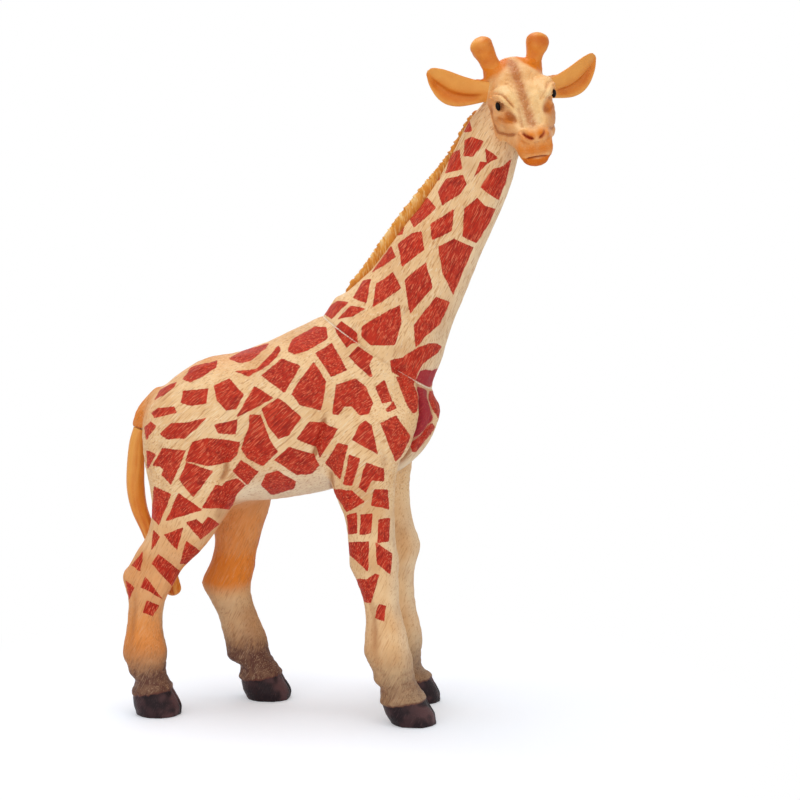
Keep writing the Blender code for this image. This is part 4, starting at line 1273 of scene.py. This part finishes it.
face.work("""
swelling -0.8 0 498.5,105.5 4.4,5.8
groove 2.3 -0.62 492,96 496,91.5 501,88.2 506.5,88.6 511,94 515,101 518,107
groove 1.6 -0.85 489,100.5 494,96.6 499.5,97.6 504.5,101.5 509.5,107 513.5,112
groove 1.3 0.6 491,98 496,93.6 501.5,93.8 506.5,98 511.5,104.8 515.5,110
groove 1.2 -0.75 493.5,103 496,99.9 500,100.6 503,103.6
groove 1.4 -0.45 494.2,102 494.6,107.5 497.8,112.2 502,113.2 505.5,111
swelling -0.95 45 510,116 7.5,3.8
groove 1.3 -0.25 495,115.5 501,118 508,121.5 515,123
groove 1.3 0.25 499,121 506,123.2 514,123.6
groove 2.6 -0.4 488,114 489.5,124 494,134 502,141 512,147
groove 2.2 0.4 517.5,105 519.6,113 521.2,122 522.5,130
groove 2.4 -0.3 522.3,104 524.6,113 526,122 528,129
swelling 0.45 0 505.5,127.5 8,6
groove 1.6 -0.45 519.5,136 520,132.5 523,130.8 528,131.5
groove 1.6 -0.12 521.5,138.5 526.5,141.5 532,143
groove 1.6 0.25 535.5,141 536,146 537,151
groove 1.6 0.25 520.5,141 524,143.5 530,145
groove 2.4 -0.4 526,162 531,163.2 538,161.5
groove 1.3 0.22 489.5,92 493,89 498,85
groove 1.3 0.22 503,84.5 508,83.8 512,88
groove 1.3 0.22 504,80 510,80.5 515,86
groove 1.3 0.22 486.5,104 488.5,110 489.2,118
groove 1.3 0.22 494,119 500,125 507,129
groove 1.1 0.2 521,146.5 528,147.5 536,147
groove 1.1 0.2 522.5,150.5 529,151 537,150.3
groove 1.1 0.2 524.5,154.6 531,154.2 538,153
""")
cheek_line = listed("489.5,107 490.2,116 492.6,126 498,133 508,135.4 518,134")
face.groove(cheek_line, 1.9, 0.6)
nostril = listed("521.8,132.4 525.5,135.6 529.5,137.9 534.5,139.2")
shorter = 1 - other_side * (1 - fade(face.pixels[:, 0], 525, 528))
face.relief -= face.along(nostril, 1.3) * shorter
mouth = listed("526,159.3 530,158.4 535,157.4 539,156.9 543,156.5")
face.groove(mouth, 0.9, 0.75)
face.relief *= 1 - 0.5 * fade(head_place[:, 1], 0.5, 3.5)
face.swelling(((516, 127), (4.5, 4)), 0.25)
head_down = head_place / head_scale
stripe_way = head_place[:, 1] + 1.0 - 1.6 * head_down[:, 0]
stripe = bell(stripe_way, 1.5) * fade(head_down[:, 0], -0.14, 0.0) * (1 - fade(head_down[:, 0], 0.47, 0.6))
stripe *= fade(turned[:, 2], 0.1, 0.5)
feather_lean = head_place[:, 0] + 0.7 * np.abs(stripe_way)
feather = stacked(feather_lean / 0.55, stripe_way / 1.8, np.sign(stripe_way))
face.relief += stripe * (0.10 + 0.16 * noise(feather, 61))
around_horns = noise(head_place / [0.9, 2.6, 2.6], 62)
face.relief += 0.09 * around_horns * fade(head_down[:, 2], 0.1, 0.3)
face.relief += 0.07 * noise(head_skin / 0.8, 63) + 0.12 * noise(head_skin / 2.6, 64)
move_to(head, head_skin + head_outward * face.relief[:, None])
print("face relief, mm:", face.relief.min().round(2), "to", face.relief.max().round(2))

# %% Face marks
horn_glow, ear_glow = np.zeros(len(head_skin)), np.zeros(len(head_skin))
for hand, side in sides.items():
    for glow_share, place_shares, way, reach in (
        (horn_glow, horn_places[hand], head_way(horn_way_shares, side), (-2.6, 1.2)),
        (ear_glow, ear_places[hand], head_way(ear_way_shares[hand], side), (0.0, 4.0)),
    ):
        offset = head_skin - head_points(place_shares)
        along = offset @ way
        aside = np.linalg.norm(offset - np.outer(along, way), axis=1)
        glow_share += fade(along, *reach) * (1 - fade(aside, 3.6, 6.2))
nose_glow = 0.95 * face.oval((531.5, 135), (9.5, 5.6)) + 0.85 * face.oval((532, 150), (15, 9))
# On the sides of the face this orange is painted shade; on the crown it is spray
side_shade_and_crown_orange = 0.5 * fade(-turned[:, 1], 0.35, 0.85) * fade(head_down[:, 0], 0, 0.1) * (
    1 - fade(-head_down[:, 2], 0.25, 0.4)) + 0.3 * fade(head_down[:, 2], 0.3, 0.5)
chin_glow = fade(face.pixels[:, 1], 157.5, 160.5) * face.seen
corner_glow = 0.8 * face.oval((509.5, 116.5), (7.5, 4.6), 38)
corner_glow += 0.35 * face.along([(497, 117), (505, 121), (514, 121)], 3)
glow = nose_glow + chin_glow + corner_glow + side_shade_and_crown_orange + 0.9 * horn_glow + 0.8 * ear_glow
mark(head, "orange", np.clip(glow, 0, 1))
mark(head, "stripe", np.clip(stripe * (1.2 + 0.45 * noise(feather, 65)), 0, 1))
# Painted shade in the face's hollows and creases: under the eye, along the cheek and behind the jaw
face_hollow_shade = 0.5 * face.oval((502, 125), (11, 9), 20) + 0.55 * face.oval((513, 120), (4, 2.8), 45)
face_hollow_shade += 0.4 * face.along([(496, 117.5), (503, 119), (512, 120)], 1.5)
face_hollow_shade += 0.55 * face.along([(489, 102), (488.5, 112), (490.5, 121), (496, 130)], 3.0)
face_hollow_shade += 0.5 * face.along(cheek_line, 2.0)
mark(head, "recess_shade", np.clip(np.clip(-face.relief / 0.6 - 0.1, 0, 0.8) + face_hollow_shade, 0, 1))
slit = np.maximum(face.along(nostril, 1.3), face.along([(525, 135.4), (529, 137.6), (533, 138.8)], 2.2))
slit *= (1 - 0.4 * other_side) * shorter
mark(head, "dark", np.clip(slit + 0.75 * face.along(mouth, 0.65), 0, 1))
mark(head, "chin", 0.9 * chin_glow + 0.35 * face.oval((532, 152), (13, 5)))
# Painted light: a highlight down the nose bridge and a paler underside of the jaw
bridge = 0.55 * face.along([(531.5, 98), (533.5, 110), (535, 124)], 3.5)
jaw_underside_light = fade(-head_down[:, 2], 0.18, 0.45) * (1 - fade(head_down[:, 0], 0.42, 0.55))
mark(head, "painted_light", bridge + jaw_underside_light * (1 - np.clip(nose_glow + chin_glow, 0, 1)))

# %% [markdown]
# ## Names, bodies and finishes
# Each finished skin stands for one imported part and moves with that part's body.
# Only the tail moves: it turns under the rump.

# %% Pieces and the parts they stand for
stands_for = [
    (right_shell, "body_right_half", "body", "printed_cream"),
    (left_shell, "body_left_half", "body", "printed_cream"),
    (neck_shell, "neck", "body", "printed_cream"),
    (head, "head", "body", "head_cream"),
    (mane, "mane", "body", "mane_ochre"),
    (tail, "tail", "tail", "orange"),
]
for hand in sides:
    stands_for += [
        (ears[hand], "ear_" + hand, "body", "orange"),
        (horns[hand], "horn_" + hand, "body", "orange"),
        (eyes[hand], "eye_" + hand, "body", "eye_black"),
    ]
for piece, node_name, body_name, slot_name in stands_for:
    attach(piece, body_name)
    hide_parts(node_name)
print("pieces:", len(stands_for))

# %% [markdown]
# ## Paint
# The toy is matt plastic: cream, sprayed with orange and grey brown, then printed. Light and shade are
# painted into some of these colours as well.
# Each paint is built from nodes. To keep that readable, a shader value is wrapped
# in a small class, so that ordinary arithmetic adds the Math nodes.

# %% Shader values and nodes
class Value:
    """One shader socket: +, - and * on it add Math nodes."""

    def __init__(self, paint, socket):
        self.paint, self.socket = paint, socket

    def maths(self, operation, first, second, clamp=False):
        settings = {"operation": operation, "use_clamp": clamp}
        return self.paint.node('ShaderNodeMath', settings, {0: first, 1: second})

    def __add__(self, other):
        return self.maths('ADD', self, other)

    def __radd__(self, other):
        return self.maths('ADD', other, self)

    def __sub__(self, other):
        return self.maths('SUBTRACT', self, other)

    def __rsub__(self, other):
        return self.maths('SUBTRACT', other, self)

    def __mul__(self, other):
        return self.maths('MULTIPLY', self, other)

    def __rmul__(self, other):
        return self.maths('MULTIPLY', other, self)

    def clamped(self):
        """The value kept between 0 and 1."""
        return self.maths('MULTIPLY', self, 1.0, True)

    def between(self, start, end):
        """0 up to start, 1 from end, smooth in between."""
        return self.paint.node(
            'ShaderNodeMapRange', {"interpolation_type": 'SMOOTHSTEP'},
            {"Value": self, "From Min": start, "From Max": end})


class Paint:
    """The nodes of one material, or of the world."""

    def __init__(self, block):
        block.use_nodes = True
        self.block, self.tree = block, block.node_tree
        self.tree.nodes.clear()

    def node(self, kind, settings=None, values=None, output=0):
        """Add a node: its settings first, then the values or links of its sockets; gives one output."""
        made = self.tree.nodes.new(kind)
        for name, value in (settings or {}).items():
            setattr(made, name, value)
        for name, value in (values or {}).items():
            if isinstance(value, Value):
                self.tree.links.new(value.socket, made.inputs[name])
            else:
                made.inputs[name].default_value = value
        return made if output is None else Value(self, made.outputs[output])

    def mark(self, name):
        """A number that was stored for each point."""
        return self.node('ShaderNodeAttribute', {"attribute_name": name}, output="Fac")

    def mix(self, share, first, second):
        """The second colour laid over the first by a share."""
        settings = {"data_type": 'RGBA', "clamp_factor": True}
        return self.node('ShaderNodeMix', settings, {0: share, 6: first, 7: second}, output=2)

    def coats(self, colour, *layers):
        """A colour under one coat after another: each layer is a share and the coat's own colour."""
        for share, coat_colour in layers:
            colour = self.mix(share, colour, coat_colour)
        return colour

    def grain(self, size, detail=2.0, seed=0.0, way=None, length=None):
        """Noise with cells of a size in mm; with a way in the x-z plane its cells are drawn out along it."""
        stretch = (length * mm, size * mm, size * mm) if way else (size * mm,) * 3
        turn = -math.atan2(way[2], way[0]) if way else 0
        place = self.node('ShaderNodeTexCoord', output="Object")
        drawn = self.node(
            'ShaderNodeMapping', {"vector_type": 'TEXTURE'},
            {"Vector": place, "Location": (seed, seed, seed), "Rotation": (0, turn, 0), "Scale": stretch})
        return self.node('ShaderNodeTexNoise', {}, {"Vector": drawn, "Scale": 1.0, "Detail": detail})


def tone(red, green, blue):
    """A colour as it is written in pictures, 0 to 255, turned into light: ((c + 0.055) / 1.055)^2.4."""
    shares = np.array([red, green, blue]) / 255
    return (*np.where(shares > 0.04045, ((shares + 0.055) / 1.055) ** 2.4, shares / 12.92).tolist(), 1.0)


def finish_paint(paint, colour, roughness, bump, bump_mm, shine):
    """The plastic itself: colour, roughness, a bump of bump_mm, and how strongly it mirrors."""
    normal = paint.node('ShaderNodeBump', {}, {"Height": bump, "Strength": 1.0, "Distance": bump_mm * mm})
    values = {"Base Color": colour, "Roughness": roughness, "Normal": normal, "Specular IOR Level": shine}
    plastic = paint.node('ShaderNodeBsdfPrincipled', {}, values)
    paint.node('ShaderNodeOutputMaterial', {}, {"Surface": plastic}, output=None)
    return paint.block


# %% The printed hide
def hide_paint():
    """Cream with hair strokes, then orange and grey sprays, hoof, print and the pale glue line; painted
    light, shade and glints are laid in among them.
    """
    paint = Paint(bpy.data.materials.new("printed_cream"))
    on_neck, on_leg = paint.mark("on_neck"), paint.mark("on_leg")

    def along_hair(size, length, seed):
        trunk, neck, leg = (
            paint.grain(size, 2.0, seed, hair_way[region], length) for region in ("trunk", "neck", "leg"))
        body = trunk + (neck - trunk) * on_neck
        return body + (leg - body) * on_leg

    fine, strokes = along_hair(0.26, 3.0, 0.0), along_hair(0.34, 5.5, 0.13)
    cloud, mottle = paint.grain(9.0, 2.0, 0.31), paint.grain(1.7, 3.0, 0.47)
    blotch = paint.grain(4.5, 1.0, 0.61)
    orange = paint.mark("orange") + (cloud - 0.5) * 0.25
    sprayed = (on_leg + orange).clamped()
    scratch = strokes.between(0.55, 0.64)
    cream = paint.coats(
        paint.mix(cloud.between(0.35, 0.7), tone(243, 203, 152), tone(232, 186, 132)),
        # Painted light on undersides and fronts
        (paint.mark("painted_light") * 0.7, tone(246, 230, 200)),
        (orange.clamped() * (0.8 + 0.4 * fine), tone(226, 128, 42)),
        (scratch * (0.55 - 0.2 * on_leg), tone(182, 108, 50)),
        # Painted glints: light flecks along the hair, fewer where sprayed
        ((1 - fine).between(0.54, 0.68) * (0.45 - 0.36 * sprayed), tone(253, 234, 200)),
        # Painted shade in the creases
        (paint.mark("recess_shade") * 0.75, tone(170, 104, 58)),
        # Painted shade of the chest's hollow
        (paint.mark("chest_hollow_shade") * 0.5, tone(196, 128, 112)),
        ((paint.mark("ankle") * (0.7 + 0.8 * strokes)).clamped(),
         paint.mix(mottle.between(0.4, 0.62), tone(98, 62, 50), tone(122, 86, 66))),
        (paint.mark("ankle") * fine.between(0.54, 0.66) * 0.36, tone(206, 170, 136)),
    )
    red = paint.coats(
        paint.mix(cloud.between(0.3, 0.7), tone(180, 24, 8), tone(194, 36, 14)),
        (mottle.between(0.5, 0.7) * 0.55, tone(212, 72, 46)),
        ((1 - mottle).between(0.52, 0.7) * 0.5, tone(140, 16, 14)),
        (strokes.between(0.5, 0.62) * 0.7, tone(134, 10, 8)),
        # Painted glints: light flecks along the hair on the red
        (fine.between(0.54, 0.64) * 0.66, tone(238, 124, 88)),
        # Painted shade of the chest's hollow: darker, bluer red
        (paint.mark("chest_hollow_shade") * 0.62, tone(154, 34, 58)),
    )
    hoof = paint.mark("hoof")
    horn_tone = paint.coats(
        tone(38, 25, 28),
        # Painted highlight, stronger at the hoof's front
        (blotch.between(0.4, 0.62) * (0.35 + 0.6 * paint.mark("toe_highlight")), tone(94, 64, 64)),
        (fine.between(0.55, 0.75) * 0.3, tone(104, 80, 80)),
    )
    ragged = paint.mark("patch") + (strokes - 0.5) * 0.35 + (fine - 0.5) * 0.35
    glue = 1 - (paint.mark("seam") + (cloud - 0.5) * 0.1).between(0.10, 0.26)
    colour = paint.coats(
        cream,
        (ragged.between(-0.09, 0.09) * 0.97, red),
        (hoof, horn_tone),
        (hoof * (1 - hoof) * 2.6 * (0.4 + cloud), tone(116, 66, 54)),
        (glue * 0.85, tone(246, 228, 202)),
    )
    roughness = 0.50 + 0.16 * (fine - 0.5) - 0.14 * hoof
    bump = strokes * 0.4 - scratch * 0.15 + fine * 0.5 + paint.grain(0.12, 1.0) * 0.12
    return finish_paint(paint, colour, roughness, bump, 0.28, 0.12)


# %% Head paint
def head_paint():
    """Warm cream, with orange nose, lips and eye corners, the brown stripe of hair, and painted light and
    shade.
    """
    paint = Paint(bpy.data.materials.new("head_cream"))
    cloud, fine = paint.grain(5.0, 2.0, 0.2), paint.grain(0.35, 3.0, 0.4)
    orange = (paint.mark("orange") * (0.8 + 0.4 * cloud)).clamped()
    colour = paint.coats(
        paint.mix(cloud.between(0.35, 0.65), tone(252, 214, 156), tone(242, 194, 130)),
        # Painted light on the bridge and under the jaw
        (paint.mark("painted_light") * 0.8, tone(226, 196, 160)),
        (orange, tone(224, 122, 16)),
        (paint.mark("chin"), tone(208, 100, 0)),
        ((paint.mark("stripe") * (0.5 + 0.8 * fine)).clamped() * 0.9, tone(174, 90, 28)),
        # Painted shade in the hollows and creases of the face
        (paint.mark("recess_shade") * 0.85, tone(172, 94, 42)),
        (fine.between(0.56, 0.7) * (0.4 - 0.36 * orange), tone(255, 236, 192)),
        ((1 - fine).between(0.54, 0.7) * 0.2, tone(186, 112, 58)),
        (paint.mark("dark"), tone(158, 44, 10)),
    )
    return finish_paint(paint, colour, 0.46 + 0.2 * (fine - 0.5), fine + 0.4 * cloud, 0.09, 0.18)


# %% Orange, mane and eye paints
def orange_paint():
    """Sprayed orange, with painted shade in the hollows and painted highlights on the rims."""
    paint = Paint(bpy.data.materials.new("orange"))
    cloud, fine = paint.grain(4.0, 2.0, 0.6), paint.grain(0.4, 2.0, 0.7)
    colour = paint.coats(
        paint.mix(cloud.between(0.3, 0.7), tone(229, 140, 46), tone(220, 125, 32)),
        # Painted shade in the hollows, then painted highlights on the rims
        (paint.mark("painted_shade") * (0.7 + 0.5 * cloud), tone(200, 94, 12)),
        (paint.mark("painted_light") * 0.8, tone(240, 176, 88)),
        (fine.between(0.58, 0.75) * 0.25, tone(244, 184, 106)),
    )
    return finish_paint(paint, colour, 0.46 + 0.16 * (fine - 0.5), fine, 0.08, 0.3)


def mane_paint():
    """Ochre hair, with painted shade at the roots between strands and painted highlights on the tips."""
    paint = Paint(bpy.data.materials.new("mane_ochre"))
    strand_way = (neck_axis[0] - 0.7 * neck_front[0], 0, neck_axis[2] - 0.7 * neck_front[2])
    fine = paint.grain(0.28, 2.0, 0.8, strand_way, 2.6)
    cloud = paint.grain(3.0, 2.0, 0.9)
    colour = paint.coats(
        paint.mix(cloud.between(0.3, 0.7), tone(224, 150, 50), tone(214, 132, 32)),
        # Painted shade at the roots and painted highlights on the tips
        (paint.mark("painted_shade"), tone(186, 102, 14)),
        (paint.mark("painted_light") * 0.8, tone(250, 214, 148)),
        (fine.between(0.52, 0.7) * 0.6, tone(238, 200, 132)),
    )
    return finish_paint(paint, colour, 0.5 + 0.2 * (fine - 0.5), fine, 0.12, 0.25)


def eye_paint():
    """Glossy black enamel, a trace brown where it is thin."""
    paint = Paint(bpy.data.materials.new("eye_black"))
    cloud = paint.grain(0.8, 2.0, 0.5)
    colour = paint.mix(cloud.between(0.4, 0.7), tone(8, 6, 6), tone(20, 12, 10))
    return finish_paint(paint, colour, 0.25 + 0.08 * cloud, cloud, 0.01, 0.1)


paints = {
    "printed_cream": hide_paint(), "head_cream": head_paint(), "orange": orange_paint(),
    "mane_ochre": mane_paint(), "eye_black": eye_paint(),
}
for piece, _, _, slot_name in stands_for:
    piece.data.materials.clear()
    piece.data.materials.append(paints[slot_name])
    print(piece.name, "is painted", slot_name)

# %% [markdown]
# ## Studio
# The photo was taken on white with soft light from above. The floor is pale and
# plain: the camera sees it lifted to white, and the figure's own soft shadow is
# what stays. Large lamps at a plain level let each colour come out as written.

# %% World and floor
def seen_directly(paint):
    """1 for rays from the camera, and for those that gloss or glass sends on; 0 for light itself."""
    rays = [
        paint.node('ShaderNodeLightPath', output=name)
        for name in ("Is Camera Ray", "Is Glossy Ray", "Is Transmission Ray")
    ]
    return (rays[0] + rays[1] + rays[2]).clamped()


sky_level = 0.5
pure = (1, 1, 1, 1)
sky = Paint(bpy.data.worlds.new("studio"))
glow = sky.node('ShaderNodeBackground', {}, {"Color": (0.97, 0.985, 1, 1), "Strength": sky_level})
white = sky.node('ShaderNodeBackground', {}, {"Color": pure, "Strength": 1.0})
sky_mix = sky.node('ShaderNodeMixShader', {}, {0: seen_directly(sky), 1: glow, 2: white})
sky.node('ShaderNodeOutputWorld', {}, {"Surface": sky_mix}, output=None)
bpy.context.scene.world = sky.block

floor_reach = 900
floor_centre = -16
floor_lift = 0.27
floor_paint = Paint(bpy.data.materials.new("floor"))
place = floor_paint.node('ShaderNodeTexCoord', output="Object")
middle = (floor_centre * mm, 0, 0)
distance = floor_paint.node(
    'ShaderNodeVectorMath', {"operation": 'DISTANCE'}, {0: place, 1: middle}, output="Value")
speck = floor_paint.grain(60, 2.0)
paper_tone = floor_paint.mix(speck * 0.3, tone(233, 237, 244), tone(230, 234, 242))
paper = floor_paint.node('ShaderNodeBsdfDiffuse', {}, {"Color": paper_tone})
seen_floor = seen_directly(floor_paint)
lift = floor_paint.node('ShaderNodeEmission', {}, {"Color": pure, "Strength": seen_floor * floor_lift})
near_floor = floor_paint.node('ShaderNodeAddShader', {}, {0: paper, 1: lift})
bright = floor_paint.node('ShaderNodeEmission', {}, {"Color": pure, "Strength": 1.0})
far_share = seen_floor * distance.between(0.055, 0.14)
floor_mix = floor_paint.node('ShaderNodeMixShader', {}, {0: far_share, 1: near_floor, 2: bright})
floor_paint.node('ShaderNodeOutputMaterial', {}, {"Surface": floor_mix}, output=None)
floor_corners = np.array([[-1.0, -1, 0], [1, -1, 0], [1, 1, 0], [-1, 1, 0]]) * floor_reach
floor = add_mesh("studio_floor", [(floor_corners, [np.array([[0, 1, 2, 3]])])])
floor.data.materials.append(floor_paint.block)
print("floor from the middle outwards, mm:", floor_reach)


# %% Lamps
lamp_aim = np.array([0, 0, 90]) * mm


def lamp(name, way, distance, size, power):
    """A square soft lamp aimed at the figure: distance and size in metres, power in watts."""
    light = bpy.data.lights.new(name, 'AREA')
    light.energy, light.size = power, size
    way = unit(way)
    side = unit(np.cross([0, 0, 1], way))
    rise = np.cross(way, side)
    place = lamp_aim + way * distance
    obj = bpy.data.objects.new(name, light)
    obj.matrix_world = standing(side, rise, way, place)
    bpy.context.scene.collection.objects.link(obj)
    print(name, "at", place.round(2))


lamp("key", (-0.15, 0.02, 1.0), distance=0.7, size=0.4, power=2.3)
lamp("front", (-0.25, -1.0, 0.22), distance=0.8, size=0.8, power=2.3)
lamp("fill", (0.9, -0.7, 0.25), distance=0.8, size=0.6, power=0.9)
lamp("rim", (-0.3, 0.9, 0.5), distance=0.7, size=0.5, power=0.4)
bpy.context.scene.view_settings.view_transform = 'Standard'

# %% Size
for piece, *_ in stands_for:
    print(piece.name, "spans", positions(piece).min(0).round(1), "to", positions(piece).max(0).round(1))
